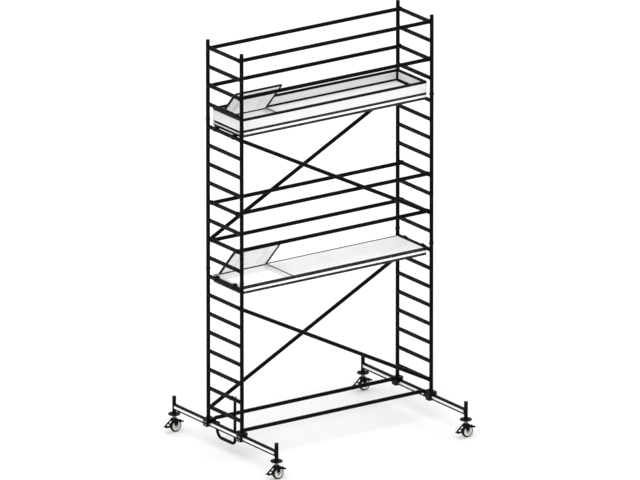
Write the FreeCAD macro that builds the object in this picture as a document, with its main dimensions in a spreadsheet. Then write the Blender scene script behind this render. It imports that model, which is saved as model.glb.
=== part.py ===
"""Mobile scaffold tower: ladder frames, hooked rails and braces, two hatch decks, four levelling castors.

Millimetres. X runs along the decks, Y across the tower (front is -Y), Z is up.
The origin is on the floor, at the middle of the tower.
"""

import os
import re

import FreeCAD, Part

Vector, Rotation, Placement = FreeCAD.Vector, FreeCAD.Rotation, FreeCAD.Placement
X, Y, Z = Vector(1, 0, 0), Vector(0, 1, 0), Vector(0, 0, 1)

SIZES = {
    # the tower
    "bay_length": 2940,
    "frame_width": 755,
    "tube_outer": 50.8,
    "tube_wall": 2,
    "rung_pitch": 250,
    "rungs_per_frame": 8,
    "first_rung": 150,
    "top_stub": 100,
    "rungs_in_top_frame": 4,
    "top_frame_first_rung": 200,
    "spigot_reach": 120,
    "clip_height": 24,
    "clip_wall": 4,
    "stop_ring": 6,
    "stop_lip": 3,
    # rails, braces and their claws
    "claw_wall": 7,
    "claw_width": 28,
    "claw_reach": 46,
    "plug_length": 10,
    "claw_side_gap": 1.5,
    "brace_rungs": 6,
    # mobile beams and the saddles that carry the frames
    "beam_height": 80,
    "beam_width": 40,
    "beam_wall": 3,
    "outrigger": 775,
    "saddle_length": 120,
    "saddle_width": 88,
    "saddle_floor": 5,
    "saddle_crown": 25,
    "saddle_wall": 5,
    "strut_claw_width": 40,
    "strut_claw_wall": 8,
    "strut_claw_drop": 42,
    # castors
    "wheel_diameter": 160,
    "tyre_width": 46,
    "tyre_depth": 20,
    "rim_wall": 6,
    "hub_diameter": 46,
    "hub_length": 52,
    "web_thickness": 10,
    "axle_diameter": 20,
    "axle_nut_lip": 5,
    "axle_nut_height": 7,
    "trail": 20,
    "crown_gap": 10,
    "crown_thickness": 8,
    "crown_length": 78,
    "fork_gap": 54,
    "fork_leg": 5,
    "boss_diameter": 40,
    "head_diameter": 64,
    "head_height": 14,
    "swivel_diameter": 20,
    "rivet_lip": 6,
    "rivet_height": 5,
    "flange_diameter": 58,
    "flange_thickness": 6,
    "spindle_diameter": 40,
    "thread_show": 24,
    "nut_diameter": 64,
    "nut_height": 36,
    "handwheel_diameter": 160,
    "handwheel_rim": 18,
    "handwheel_web": 8,
    "handwheel_window": 22,
    "sleeve_outer": 50.8,
    "sleeve_below_beam": 42,
    "sleeve_above_beam": 90,
    "sleeve_cap": 10,
    "cap_lip": 3,
    "pedal_pivot": 10,
    "pivot_setback": 25,
    "pedal_reach": 118,
    "tread_rise": 4,
    "toe_rise": 46,
    "shoe_angle": 20,
    "pedal_cheek": 4,
    "pedal_arm": 22,
    "pedal_tread": 56,
    "toe_reach": 145,
    "pedal_toe": 16,
    "brake_shoe": 20,
    # decks
    "deck_width": 640,
    "deck_depth": 95,
    "deck_end_gap": 40,
    "deck_rail": 30,
    "deck_wall": 3,
    "deck_end_beam": 50,
    "lower_deck_rise": 24,
    "upper_deck_rise": 110,
    "panel_thickness": 12,
    "panel_gap": 1,
    "bearer_width": 40,
    "bearer_height": 40,
    "bearers": 4,
    "hook_width": 50,
    "hook_offset": 200,
    "hook_rise": 45,
    "hatch_inset": 40,
    "hatch_length": 750,
    "hatch_gap": 2,
    "hatch_corner": 40,
    "hatch_rest_angle": 48,
    "hinge_knuckle": 10,
    "hinge_length": 34,
    "hinge_pin": 5,
    "hinge_leaf": 30,
    "hinge_leaf_thickness": 2,
    "ring_pull_wall": 6,
    "toe_board_height": 150,
    "toe_board_thickness": 18,
    # access stirrup
    "stirrup_outer": 38,
    "stirrup_wall": 3,
    "stirrup_leg_place": 222,
    "stirrup_step": 400,
    "stirrup_step_height": 180,
    "stirrup_small_bend": 60,
    "stirrup_large_bend": 100,
    # clearances
    "slip": 0.3,
    "running": 0.05,
}

LEVELS = {
    "tube_radius": "tube_outer / 2",
    "tube_bore": "tube_outer / 2 - tube_wall",
    "axle_level": "wheel_diameter / 2",
    "crown_bottom": "wheel_diameter + crown_gap",
    "crown_top": "crown_bottom + crown_thickness",
    "head_top": "crown_top + head_height",
    "flange_top": "head_top + slip + flange_thickness",
    "nut_bottom": "flange_top + thread_show",
    "nut_top": "nut_bottom + nut_height",
    "sleeve_bottom": "nut_top + slip",
    "beam_bottom": "sleeve_bottom + sleeve_below_beam",
    "beam_top": "beam_bottom + beam_height",
    "sleeve_top": "beam_top + sleeve_above_beam",
    "foot_level": "beam_top + saddle_crown",
    "frame_height": "first_rung + (rungs_per_frame - 1) * rung_pitch + top_stub",
    "joint_one": "foot_level + frame_height",
    "joint_two": "joint_one + frame_height",
    "top_frame_height": "top_frame_first_rung + (rungs_in_top_frame - 1) * rung_pitch + top_stub",
    "castor_y": "frame_width / 2 + outrigger",
    "claw_y": "frame_width / 2 - tube_radius - claw_side_gap - claw_width / 2",
    "inner_claw_y": "claw_y - tube_outer - claw_side_gap",
    "strut_reach": "saddle_length / 2 + claw_side_gap",
    "strut_y": "frame_width / 2 - saddle_width / 2 - strut_claw_width / 2 - claw_side_gap",
    "lower_deck_top": "foot_level + first_rung + (rungs_per_frame - 1) * rung_pitch + lower_deck_rise",
    "upper_deck_top": "joint_one + first_rung + (rungs_per_frame - 1) * rung_pitch + upper_deck_rise",
    "deck_end": "bay_length / 2 - deck_end_gap",
    "rail_inner": "deck_width / 2 - deck_rail",
    "hinge_y": "rail_inner",
    "hinge_rise": "hinge_knuckle / 2",
    "hatch_left": "-deck_end + hatch_inset",
    "lid_depth": "2 * rail_inner - 2 * hatch_gap",
    "stirrup_x": "-bay_length / 2 + tube_radius + stirrup_outer / 2 + slip",
    "stirrup_front": "-frame_width / 2 + stirrup_leg_place",
    "stirrup_back": "stirrup_front + stirrup_step",
    "pivot_height": "crown_bottom - pedal_pivot",
    "tread_level": "axle_level + tread_rise",
    "toe_level": "axle_level + toe_rise",
    "pedal_slope": "atan2(pivot_height - tread_level; pedal_reach - pivot_setback)",
    "toe_slope": "atan2(pivot_height - toe_level; toe_reach)",
}

doc = FreeCAD.newDocument("scaffold_tower")
sheet = doc.addObject("Spreadsheet::Sheet", "Sizes")
for row, (alias, value) in enumerate(SIZES.items(), start=1):
    sheet.set(f"A{row}", alias)
    sheet.set(f"B{row}", str(value))
    sheet.setAlias(f"B{row}", alias)
doc.recompute()
levels = doc.addObject("App::VarSet", "Levels")


def bound(text):
    """An expression in plain names, with each name pointed at the sheet or at the derived levels."""

    def owner(match):
        word = match.group(0)
        home = "Sizes." if word in SIZES else "Levels." if word in LEVELS else ""
        return home + word

    return re.sub(r"[a-z_]+", owner, str(text))


for name in LEVELS:
    levels.addProperty("App::PropertyFloat", name, "Derived")
for name, text in LEVELS.items():
    levels.setExpression(name, bound(text))
doc.recompute()


def count(alias):
    return int(sheet.get(alias))


# A turn whose angle is bound later starts at this angle, because a turn of nought has no axis to keep
SOME_ANGLE = 10


def place(part, x="0", y="0", z="0", turn=None):
    """Bind the position, and turn the part once about a row axis."""
    if turn:
        part.Placement = Placement(Vector(), turn)
    for letter, text in zip("xyz", (x, y, z)):
        if text != "0":
            part.setExpression("Placement.Base." + letter, bound(text))
    return part


def block(name, x, y, z):
    """A box between pairs of limits, each pair an expression for its low and its high side."""
    part = doc.addObject("Part::Box", name)
    for side, (low, high) in zip(("Length", "Width", "Height"), (x, y, z)):
        part.setExpression(side, bound(f"({high}) - ({low})"))
    return place(part, x[0], y[0], z[0])


TURNS = {"x": Rotation(Y, 90), "y": Rotation(X, -90), "z": None}


def rod(name, along, radius, low, high, x="0", y="0", z="0"):
    """A cylinder along one axis between two limits; the other two coordinates place its axis."""
    part = doc.addObject("Part::Cylinder", name)
    part.setExpression("Radius", bound(radius))
    part.setExpression("Height", bound(f"({high}) - ({low})"))
    start = {"x": x, "y": y, "z": z, along: low}
    return place(part, start["x"], start["y"], start["z"], TURNS[along])


def bend(name, bend_radius, tube_radius, x, y, z, turn):
    """A quarter of a torus, for a bent tube."""
    part = doc.addObject("Part::Torus", name)
    part.setExpression("Radius1", bound(bend_radius))
    part.setExpression("Radius2", bound(tube_radius))
    part.Angle3 = 90
    return place(part, x, y, z, turn)


def cut(name, base, *tools):
    for number, tool in enumerate(tools, start=1):
        part = doc.addObject("Part::Cut", f"{name}_{number}" if number < len(tools) else name)
        part.Base, part.Tool = base, tool
        base = part
    return base


def fuse(name, *shapes):
    part = doc.addObject("Part::MultiFuse", name)
    part.Shapes = list(shapes)
    return part


def rounded(name, base, radius, along):
    """Round the edges of a box that run along one axis."""
    doc.recompute()
    part = doc.addObject("Part::Fillet", name)
    part.Base = base
    edges = []
    for number, edge in enumerate(base.Shape.Edges, start=1):
        start, end = edge.Vertexes[0].Point, edge.Vertexes[-1].Point
        if abs((end - start).normalize().dot(along)) > 0.999:
            edges.append((number, radius, radius))
    part.Edges = edges
    return part


def rounded_rims(name, base, radius, top_only=False):
    """Round the circular edges of a cylinder: both ends, or only the upper one."""
    doc.recompute()
    circles = [(n, edge) for n, edge in enumerate(base.Shape.Edges, start=1)
               if isinstance(edge.Curve, Part.Circle)]
    highest = max(edge.CenterOfMass.z for n, edge in circles)
    part = doc.addObject("Part::Fillet", name)
    part.Base = base
    part.Edges = [(n, radius, radius) for n, edge in circles
                  if not top_only or edge.CenterOfMass.z > highest - 1]
    return part


def group(label, *members):
    """Separate solids that share one node."""
    part = doc.addObject("Part::Compound", label)
    part.Links = list(members)
    return part


NODES = []


def node(label, members, x="0", y="0", z="0", turn=None):
    """A named piece of the tower at its own placement; this is what is written out."""
    part = group(label, *members)
    part.Label = label
    NODES.append(part)
    return place(part, x, y, z, turn)


def tube(name, along, radius, bore, low, high, x="0", y="0", z="0"):
    outside = rod(name + "_outside", along, radius, low, high, x, y, z)
    inside = rod(name + "_bore", along, bore, low, high, x, y, z)
    return cut(name, outside, inside)


# Ladder frames: two posts with rungs coped and welded between them, built at x = 0 with their feet at z = 0


def ladder(kind, height, first, rungs):
    half = "frame_width / 2"
    posts = [
        tube(f"{kind}_post_{side}", "z", "tube_radius", "tube_bore", "0", height, y=sign + half)
        for side, sign in (("front", "-"), ("back", ""))
    ]
    copes = [
        rod(f"{kind}_cope_{side}", "z", "tube_radius", "0", height, y=sign + half)
        for side, sign in (("front", "-"), ("back", ""))
    ]
    bars = [
        tube(f"{kind}_rung_{n + 1}", "y", "tube_radius", "tube_bore", "-" + half, half,
             z=f"{first} + {n} * rung_pitch")
        for n in range(rungs)
    ]
    return posts + [cut(f"{kind}_rungs", group(f"{kind}_bars", *bars), *copes)]


def stop_ring(post, side):
    """A post with a ring swaged inside, one spigot's length down from its open top, for a further frame to stand on."""
    ring = tube(f"stop_{side}", "z", "(tube_bore + tube_wall / 2)", "tube_bore - stop_lip",
                "top_frame_height - spigot_reach - stop_ring", "top_frame_height - spigot_reach",
                y=("-" if side == "front" else "") + "frame_width / 2")
    return fuse(f"stopped_post_{side}", post, ring)


tall_ladder = ladder("tall", "frame_height", "first_rung", count("rungs_per_frame"))
front_post, back_post, *short_bars = ladder("short", "top_frame_height", "top_frame_first_rung",
                                            count("rungs_in_top_frame"))
top_ladder = [stop_ring(front_post, "front"), stop_ring(back_post, "back"), *short_bars]
SIDES = (("left", "-bay_length / 2"), ("right", "bay_length / 2"))
for side, side_x in SIDES:
    node(f"frame_base_{side}", tall_ladder, side_x, z="foot_level")
    node(f"frame_middle_{side}", tall_ladder, side_x, z="joint_one")
    node(f"frame_top_{side}", top_ladder, side_x, z="joint_two")

# Spigots inside the posts and sprung clips around them, at the two joints of each post

spigots, clips = [], []
for level in ("joint_one", "joint_two"):
    for side, side_x in SIDES:
        for face, post_y in (("front", "-frame_width / 2"), ("back", "frame_width / 2")):
            tag = f"{level}_{side}_{face}"
            spigots.append(
                tube(f"spigot_{tag}", "z", "tube_bore - slip", "tube_bore - slip - 2 * tube_wall",
                     f"{level} - spigot_reach", f"{level} + spigot_reach", side_x, post_y)
            )
            clips.append(
                tube(f"clip_{tag}", "z", "tube_radius + slip + clip_wall", "tube_radius + slip",
                     f"{level} - clip_height / 2", f"{level} + clip_height / 2", side_x, post_y)
            )
node("frame_spigots", spigots)
node("interlock_clips", clips)

# A claw drops over a rung from above: its throat is at the origin and its stub points along +X


def claw(name, width, stub, neck_top="claw_wall * 2", end=None):
    half = f"({width}) / 2"
    grip = rod(name + "_grip", "y", "tube_radius + slip + claw_wall", "-" + half, half)
    neck = block(name + "_neck", ("0", stub), ("-" + half, half), ("-claw_wall * 2", neck_top))
    rung = rod(name + "_rung", "y", "tube_radius + slip", "-claw_width * 2", "claw_width * 2")
    mouth = block(name + "_mouth", ("-tube_radius - slip", "tube_radius + slip"),
                  ("-claw_width * 2", "claw_width * 2"), ("-tube_outer * 2", "0"))
    return cut(name, fuse(name + "_body", grip, neck, *([end] if end else [])), rung, mouth)


tube_plug = rod("tube_plug", "x", "tube_radius", "claw_reach - plug_length", "claw_reach")
rail_claw = claw("rail_claw", "claw_width", "claw_reach", end=tube_plug)
FACING = {"left": None, "right": Rotation(Z, 180)}


def hooked_tube(name, length):
    """A tube along +X from rung axis to rung axis, with a claw at each end."""
    bar = tube(name + "_tube", "x", "tube_radius", "tube_bore", "claw_reach", f"({length}) - claw_reach")
    near = place(group(name + "_claw_near", rail_claw))
    far = place(group(name + "_claw_far", rail_claw), x=length, turn=FACING["right"])
    return [bar, near, far]


rail_pieces = hooked_tube("rail", "bay_length")
RAIL_RUNGS = {
    "lower": ("joint_one + first_rung + rung_pitch", "joint_one + first_rung + 3 * rung_pitch"),
    "upper": ("joint_two + top_frame_first_rung + rung_pitch",
              "joint_two + top_frame_first_rung + 3 * rung_pitch"),
}
for level, heights in RAIL_RUNGS.items():
    for face, sign in (("front", "-"), ("back", "")):
        pair = []
        for number, height in enumerate(heights):
            # the lower rails cross a brace, so they lie one tube further in
            across = "inner_claw_y" if level == "lower" else "claw_y"
            rail = group(f"rail_{level}_{face}_{number}", *rail_pieces)
            pair.append(place(rail, "-bay_length / 2", sign + across, height))
        node(f"guard_rails_{level}_{face}", pair)

# Braces: one rises to the right in the back plane and one to the left in the front plane of each bay

brace_run = "sqrt(bay_length ^ 2 + (brace_rungs * rung_pitch) ^ 2)"
brace_pieces = hooked_tube("brace", brace_run)
BRACE_FEET = {"lower": "foot_level + first_rung", "upper": "joint_one + first_rung + rung_pitch"}
for level, foot in BRACE_FEET.items():
    for face, sign, rise, start in (("back", "", 1, foot), ("front", "-", -1, foot + " + brace_rungs * rung_pitch")):
        brace = node(f"brace_{level}_{face}", brace_pieces, "-bay_length / 2", sign + "claw_y", start,
                     Rotation(Y, SOME_ANGLE))
        slope = "atan2(brace_rungs * rung_pitch; bay_length)"
        brace.setExpression("Placement.Rotation.Angle", bound(f"{-rise} * {slope}"))

# Mobile beams with a castor sleeve at each end, and the plastic caps of the sleeves


def beam(side, side_x):
    length = ("-castor_y", "castor_y")
    width = (f"{side_x} - beam_width / 2", f"{side_x} + beam_width / 2")
    height = ("beam_bottom", "beam_top")
    outside = rounded(f"beam_{side}_outside", block(f"beam_{side}_box", width, length, height),
                      2 * sheet.get("beam_wall"), Y)
    inside = block(f"beam_{side}_inside", (f"{width[0]} + beam_wall", f"{width[1]} - beam_wall"), length,
                   ("beam_bottom + beam_wall", "beam_top - beam_wall"))
    copes, sleeves, caps = [], [], []
    for end, sign in (("front", "-"), ("back", "")):
        at = {"x": side_x, "y": sign + "castor_y"}
        tag = f"{side}_{end}"
        copes.append(rod(f"cope_{tag}", "z", "sleeve_outer / 2", "0", "sleeve_top", **at))
        sleeves.append(tube(f"sleeve_{tag}", "z", "sleeve_outer / 2", "spindle_diameter / 2 + 2 * running",
                            "sleeve_bottom", "sleeve_top", **at))
        caps.append(cap(f"cap_{tag}", at))
    node(f"mobile_beam_{side}", [cut(f"beam_{side}", outside, inside, *copes)] + sleeves)
    return caps


def cap(name, at):
    disc = rod(name + "_disc", "z", "sleeve_outer / 2 + cap_lip", "sleeve_top", "sleeve_top + sleeve_cap", **at)
    return rounded_rims(name, disc, 0.6 * sheet.get("sleeve_cap"), top_only=True)


all_caps = [piece for side, side_x in SIDES for piece in beam(side, side_x)]
node("sleeve_caps", all_caps)

# Saddles: a cast box that the beam passes through, with a spigot that the frame's post stands on


def span(centre, size):
    return f"{centre} - {size}", f"{centre} + {size}"


saddles = []
for side, side_x in SIDES:
    for face, post_y in (("front", "-frame_width / 2"), ("back", "frame_width / 2")):
        tag = f"saddle_{side}_{face}"
        body = block(tag + "_body", span(side_x, "saddle_length / 2"), span(post_y, "saddle_width / 2"),
                     ("beam_bottom - saddle_floor", "foot_level"))
        body = rounded(tag + "_rounded", body, sheet.get("saddle_wall"), Z)
        spigot = rod(tag + "_spigot", "z", "tube_bore - slip", "foot_level", "foot_level + spigot_reach",
                     side_x, post_y)
        tunnel = block(tag + "_tunnel", span(side_x, "(beam_width / 2 + slip)"),
                       span(post_y, "saddle_width"), ("beam_bottom - slip", "beam_top"))
        pockets = []
        for hand, sign in (("left", "-"), ("right", "+")):
            near = "(beam_width / 2 + slip + saddle_wall)"
            far = "(saddle_length / 2 - saddle_wall)"
            ends = (f"{side_x} {sign} {near}", f"{side_x} {sign} {far}")
            pockets.append(
                block(f"{tag}_pocket_{hand}", ends if sign == "+" else ends[::-1],
                      span(post_y, "(saddle_width / 2 - saddle_wall)"), ("0", "beam_top + saddle_wall"))
            )
        saddles.append(cut(tag, fuse(tag + "_whole", body, spigot), tunnel, *pockets))
node("beam_saddles", saddles)

# Base struts: a tube between the beams, with a cranked claw over each beam

struts = []
for face, sign in (("front", "-"), ("back", "")):
    level = "beam_top + tube_radius"
    across = sign + "strut_y"
    struts.append(tube(f"strut_{face}", "x", "tube_radius", "tube_bore",
                       "-bay_length / 2 + strut_reach", "bay_length / 2 - strut_reach", y=across, z=level))
    for side, side_x in SIDES:
        inward, outward = ("+", "-") if side == "left" else ("-", "+")
        limits = [f"{side_x} {outward} (beam_width / 2 + slip + strut_claw_wall)", f"{side_x} {inward} strut_reach"]
        if side == "right":
            limits.reverse()
        tag = f"strut_claw_{face}_{side}"
        body = block(tag + "_body", limits,
                     (f"{across} - strut_claw_width / 2", f"{across} + strut_claw_width / 2"),
                     ("beam_top - strut_claw_drop", "beam_top + tube_radius + claw_wall"))
        seat = block(tag + "_seat", (f"{side_x} - beam_width / 2 - slip", f"{side_x} + beam_width / 2 + slip"),
                     ("-frame_width", "frame_width"), ("0", "beam_top"))
        struts.append(cut(tag, body, seat))
node("base_struts", struts)

# Access stirrup: a tube bent into a step, hooked on the second rung and ending under the beam


def stirrup_tube(kind, radius):
    back, front = "stirrup_back", "stirrup_front"
    step = "stirrup_step_height"
    top = "foot_level + first_rung + rung_pitch"
    return fuse(
        f"stirrup_{kind}",
        rod(f"stirrup_{kind}_leg", "z", radius, step + " + stirrup_small_bend", top, "stirrup_x", front),
        bend(f"stirrup_{kind}_small", "stirrup_small_bend", radius, "stirrup_x",
             front + " + stirrup_small_bend", step + " + stirrup_small_bend",
             Rotation(Vector(0, -1, 0), Vector(0, 0, -1), X, "XYZ")),
        rod(f"stirrup_{kind}_step", "y", radius, front + " + stirrup_small_bend",
            back + " - stirrup_large_bend", x="stirrup_x", z=step),
        bend(f"stirrup_{kind}_large", "stirrup_large_bend", radius, "stirrup_x",
             back + " - stirrup_large_bend", step + " + stirrup_large_bend",
             Rotation(Vector(0, 0, -1), Y, X, "XYZ")),
        rod(f"stirrup_{kind}_short", "z", radius, step + " + stirrup_large_bend", "beam_top",
            "stirrup_x", back),
    )


stirrup = cut("stirrup_pipe", stirrup_tube("outside", "stirrup_outer / 2"),
              stirrup_tube("inside", "stirrup_outer / 2 - stirrup_wall"))
stirrup_claw = cut("stirrup_hook", claw("stirrup_claw", "claw_width", "tube_radius + stirrup_outer"),
                   rod("stirrup_hook_seat", "z", "stirrup_outer / 2", "-tube_outer * 2", "tube_outer * 2",
                       x="tube_radius + stirrup_outer / 2 + slip"))
top_hook = place(group("stirrup_top_hook", stirrup_claw), "-bay_length / 2", "stirrup_front",
                 "foot_level + first_rung + rung_pitch")
end_clamp = block("stirrup_end_clamp", ("-bay_length / 2 + beam_width / 2", "stirrup_x + stirrup_outer / 2 + claw_wall"),
                  ("stirrup_back - claw_width", "stirrup_back + claw_width"),
                  ("beam_bottom + claw_wall", "beam_top - claw_wall"))
end_clamp_seat = rod("stirrup_end_seat", "z", "stirrup_outer / 2", "0", "foot_level", "stirrup_x", "stirrup_back")
node("access_stirrup", [stirrup, top_hook, cut("stirrup_clamp", end_clamp, end_clamp_seat)])

# Decks: a welded frame of box rails and bearers, a plywood panel, a hatch lid and its fittings


def deck(level, deck_top, rise):
    tag = f"deck_{level}"
    top_under_panel = f"{deck_top} - panel_thickness"
    pieces = []
    for face, sign in (("front", "-"), ("back", "")):
        low, high = ("-deck_width / 2", "-rail_inner") if sign else ("rail_inner", "deck_width / 2")
        box = block(f"{tag}_rail_{face}", ("-deck_end", "deck_end"), (low, high),
                    (f"{deck_top} - deck_depth", deck_top))
        hollow = block(f"{tag}_hollow_{face}", ("-deck_end - 1", "deck_end + 1"),
                       (f"{low} + deck_wall", f"{high} - deck_wall"),
                       (f"{deck_top} - deck_depth + deck_wall", f"{deck_top} - deck_wall"))
        pieces.append(cut(f"{tag}_side_{face}", box, hollow))
    between = ("-rail_inner", "rail_inner")
    ends = {"left": ("-deck_end", "-deck_end + deck_end_beam"), "right": ("deck_end - deck_end_beam", "deck_end")}
    for side, limits in ends.items():
        pieces.append(block(f"{tag}_end_{side}", limits, between, (f"{deck_top} - deck_depth", top_under_panel)))
    hatch_right = "(hatch_left + hatch_length)"
    free = f"(deck_end - deck_end_beam - {hatch_right})"
    for n in range(count("bearers")):
        middle = f"{hatch_right} + {n} * {free} / {count('bearers')}"
        pieces.append(block(f"{tag}_bearer_{n}", (f"{middle} - bearer_width / 2", f"{middle} + bearer_width / 2"),
                            between, (f"{top_under_panel} - bearer_height", top_under_panel)))
    node(f"deck_frame_{level}", pieces)

    gap = "panel_gap"
    across = (f"-rail_inner + {gap}", f"rail_inner - {gap}")
    board = block(f"{tag}_board", (f"{hatch_right} + {gap}", "deck_end"), across, (top_under_panel, deck_top))
    strip = block(f"{tag}_strip", ("-deck_end", f"hatch_left - {gap}"), across, (top_under_panel, deck_top))
    node(f"deck_panel_{level}", [board, strip])
    return deck_hooks(level, f"{deck_top} - {rise}")


def deck_hooks(level, rung_level):
    hooks = []
    for side, side_x in SIDES:
        for face, sign in (("front", "-"), ("back", "")):
            hooks.append(place(group(f"hook_{level}_{side}_{face}", deck_hook), side_x, sign + "hook_offset",
                               rung_level, FACING[side]))
    return hooks


deck_hook = claw("deck_hook", "hook_width", "deck_end_gap", neck_top="hook_rise")
DECKS = {"lower": ("lower_deck_top", "lower_deck_rise"), "upper": ("upper_deck_top", "upper_deck_rise")}
all_hooks = []
for level, (deck_top, rise) in DECKS.items():
    all_hooks += deck(level, deck_top, rise)
node("deck_hooks", all_hooks)

# Hatch lids, built closed about the hinge axis and then opened to the angle they stand at

# where each hinge stands, as a share of the hatch's length
HINGES = (0.12, 0.5, 0.88)
lid_blank = block("lid_blank", ("hatch_gap", "hatch_length - hatch_gap"), ("-lid_depth - hatch_gap", "-hatch_gap"),
                  ("-hinge_rise - panel_thickness + slip", "-hinge_rise"))
lid_board = rounded("lid_board_all_round", lid_blank, sheet.get("hatch_corner"), Z)
lid_leaves, fixed_leaves, pins = [], [], []
for number, share in enumerate(HINGES, start=1):
    start = f"hatch_length * {share}"
    ends = (start, f"{start} + hinge_length / 2 - slip")
    fixed_ends = (f"{start} - hinge_length / 2", f"{start}")
    for name, limits, sign, store in (("lid", ends, "-", lid_leaves), ("fixed", fixed_ends, "", fixed_leaves)):
        knuckle = rod(f"{name}_knuckle_{number}", "x", "hinge_knuckle / 2", *limits)
        side = ("-hinge_leaf", "0") if sign else ("0", "deck_rail - toe_board_thickness - hatch_gap")
        leaf = block(f"{name}_leaf_{number}", limits, side, ("-hinge_rise", "-hinge_rise + hinge_leaf_thickness"))
        extra = " + running" if name == "lid" else ""
        hole = rod(f"{name}_hole_{number}", "x", "hinge_pin / 2" + extra, "-1", "hatch_length + 1")
        store.append(cut(f"{name}_hinge_{number}", fuse(f"{name}_hinge_body_{number}", knuckle, leaf), hole))
    pins.append(rod(f"hinge_pin_{number}", "x", "hinge_pin / 2", fixed_ends[0], ends[1]))
handle_grip = tube("lid_handle", "z", "hinge_leaf", "hinge_leaf - ring_pull_wall", "-hinge_rise", "0",
                   x="hatch_length / 2", y="-lid_depth + 2 * hinge_leaf")
lid_turn = Rotation(X, SOME_ANGLE)
hinge_sets = []
for level, (deck_top, rise) in DECKS.items():
    height = f"{deck_top} + hinge_rise"
    for label, members in (("hatch_lid", [lid_board]), ("hatch_fittings", lid_leaves + [handle_grip])):
        lid = node(f"{label}_{level}", members, "hatch_left", "hinge_y", height, lid_turn)
        lid.setExpression("Placement.Rotation.Angle", bound("-hatch_rest_angle"))
    hinge_sets.append(place(group(f"hinge_set_{level}", *fixed_leaves, *pins), "hatch_left", "hinge_y", height))
node("hatch_hinges", hinge_sets)

# Toe boards around the upper deck

board_top = "upper_deck_top + toe_board_height"
long_boards, end_boards = [], []
for low, high in (("-deck_width / 2", "-deck_width / 2 + toe_board_thickness"),
                  ("deck_width / 2 - toe_board_thickness", "deck_width / 2")):
    long_boards.append(block("toe_board_long", ("-deck_end", "deck_end"), (low, high), ("upper_deck_top", board_top)))
for low, high in (("-deck_end", "-deck_end + toe_board_thickness"), ("deck_end - toe_board_thickness", "deck_end")):
    inside = ("-deck_width / 2 + toe_board_thickness", "deck_width / 2 - toe_board_thickness")
    end_boards.append(block("toe_board_end", (low, high), inside, ("upper_deck_top", board_top)))
node("toe_boards_long", long_boards)
node("toe_boards_end", end_boards)

# Castors, built about the swivel axis: the brake tread points along -X and the wheel trails along +X

wheel_at = {"x": "trail", "z": "axle_level"}


def castor_spindle():
    return fuse(
        "spindle_whole",
        rod("spindle_thread", "z", "spindle_diameter / 2", "flange_top", "sleeve_top - slip"),
        rod("spindle_flange", "z", "flange_diameter / 2", "head_top + slip", "flange_top"),
        rod("spindle_pin", "z", "swivel_diameter / 2", "crown_bottom - slip - running", "head_top + slip"),
        rod("spindle_rivet", "z", "swivel_diameter / 2 + rivet_lip", "crown_bottom - slip - rivet_height",
            "crown_bottom - slip"),
    )


def handwheel_nut():
    half_rim = "handwheel_rim / 2"
    ring_radius = f"handwheel_diameter / 2 - {half_rim}"
    middle = "(nut_bottom + nut_height / 2)"
    hub = rod("nut_hub", "z", "nut_diameter / 2", "nut_bottom", "nut_top")
    ring = doc.addObject("Part::Torus", "nut_rim")
    ring.setExpression("Radius1", bound(ring_radius))
    ring.setExpression("Radius2", bound(half_rim))
    place(ring, z=middle)
    web = rod("nut_web", "z", ring_radius, f"{middle} - handwheel_web / 2",
              f"{middle} + handwheel_web / 2")
    thread = rod("nut_thread", "z", "spindle_diameter / 2 + running", "nut_bottom", "nut_top")
    windows = []
    for n in range(6):
        window = rod(f"nut_window_{n}", "z", "handwheel_window / 2", "nut_bottom", "nut_top")
        radius = "(nut_diameter / 4 + handwheel_diameter / 4)"
        place(window, f"{radius} * cos({60 * n})", f"{radius} * sin({60 * n})", "nut_bottom")
        windows.append(window)
    return cut("nut_whole", fuse("nut_body", hub, ring, web), thread, group("nut_windows", *windows))


def fork():
    inner, outer = "fork_gap / 2", "(fork_gap / 2 + fork_leg)"
    crown = block("fork_crown", ("-crown_length / 2", "crown_length / 2"), ("-" + outer, outer),
                  ("crown_bottom", "crown_top"))
    head = rod("fork_head", "z", "head_diameter / 2", "crown_top", "head_top")
    pieces = [crown, head]
    for hand, low, high in (("front", "-" + outer, "-" + inner), ("back", inner, outer)):
        leg = doc.addObject("Part::Wedge", f"fork_leg_{hand}")
        for side, text in (("Xmin", "trail - boss_diameter / 2"), ("Xmax", "trail + boss_diameter / 2"),
                           ("X2min", "-crown_length / 2"), ("X2max", "crown_length / 2"),
                           ("Ymin", "0"), ("Ymax", "crown_bottom - axle_level"),
                           ("Zmin", "0"), ("Zmax", "fork_leg"), ("Z2min", "0"), ("Z2max", "fork_leg")):
            leg.setExpression(side, bound(text))
        # the wedge tapers along its own Y, which stands upright here, and its Z runs towards -Y
        place(leg, y=high, z="axle_level", turn=Rotation(X, 90))
        boss = rod(f"fork_boss_{hand}", "y", "boss_diameter / 2", low, high, **wheel_at)
        pieces += [leg, boss]
    across = ("-frame_width", "frame_width")
    swivel = rod("fork_swivel_bore", "z", "swivel_diameter / 2 + running", "0", "foot_level")
    axle_bore = rod("fork_axle_bore", "y", "axle_diameter / 2", *across, **wheel_at)
    pivot_bore = rod("fork_pivot_bore", "y", "pedal_pivot / 2 + running", *across,
                     x="-pivot_setback", z="pivot_height")
    body = cut("fork_body", fuse("fork_whole", *pieces), swivel, axle_bore, pivot_bore)
    axle = rod("fork_axle", "y", "axle_diameter / 2", "-" + outer, outer, **wheel_at)
    heads = [
        rod(f"axle_nut_{hand}", "y", "axle_diameter / 2 + axle_nut_lip", low, high, **wheel_at)
        for hand, low, high in (("front", f"-{outer} - axle_nut_height", "-" + outer),
                                ("back", outer, f"{outer} + axle_nut_height"))
    ]
    return [body, fuse("axle_bolt", axle, *heads)]


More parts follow.
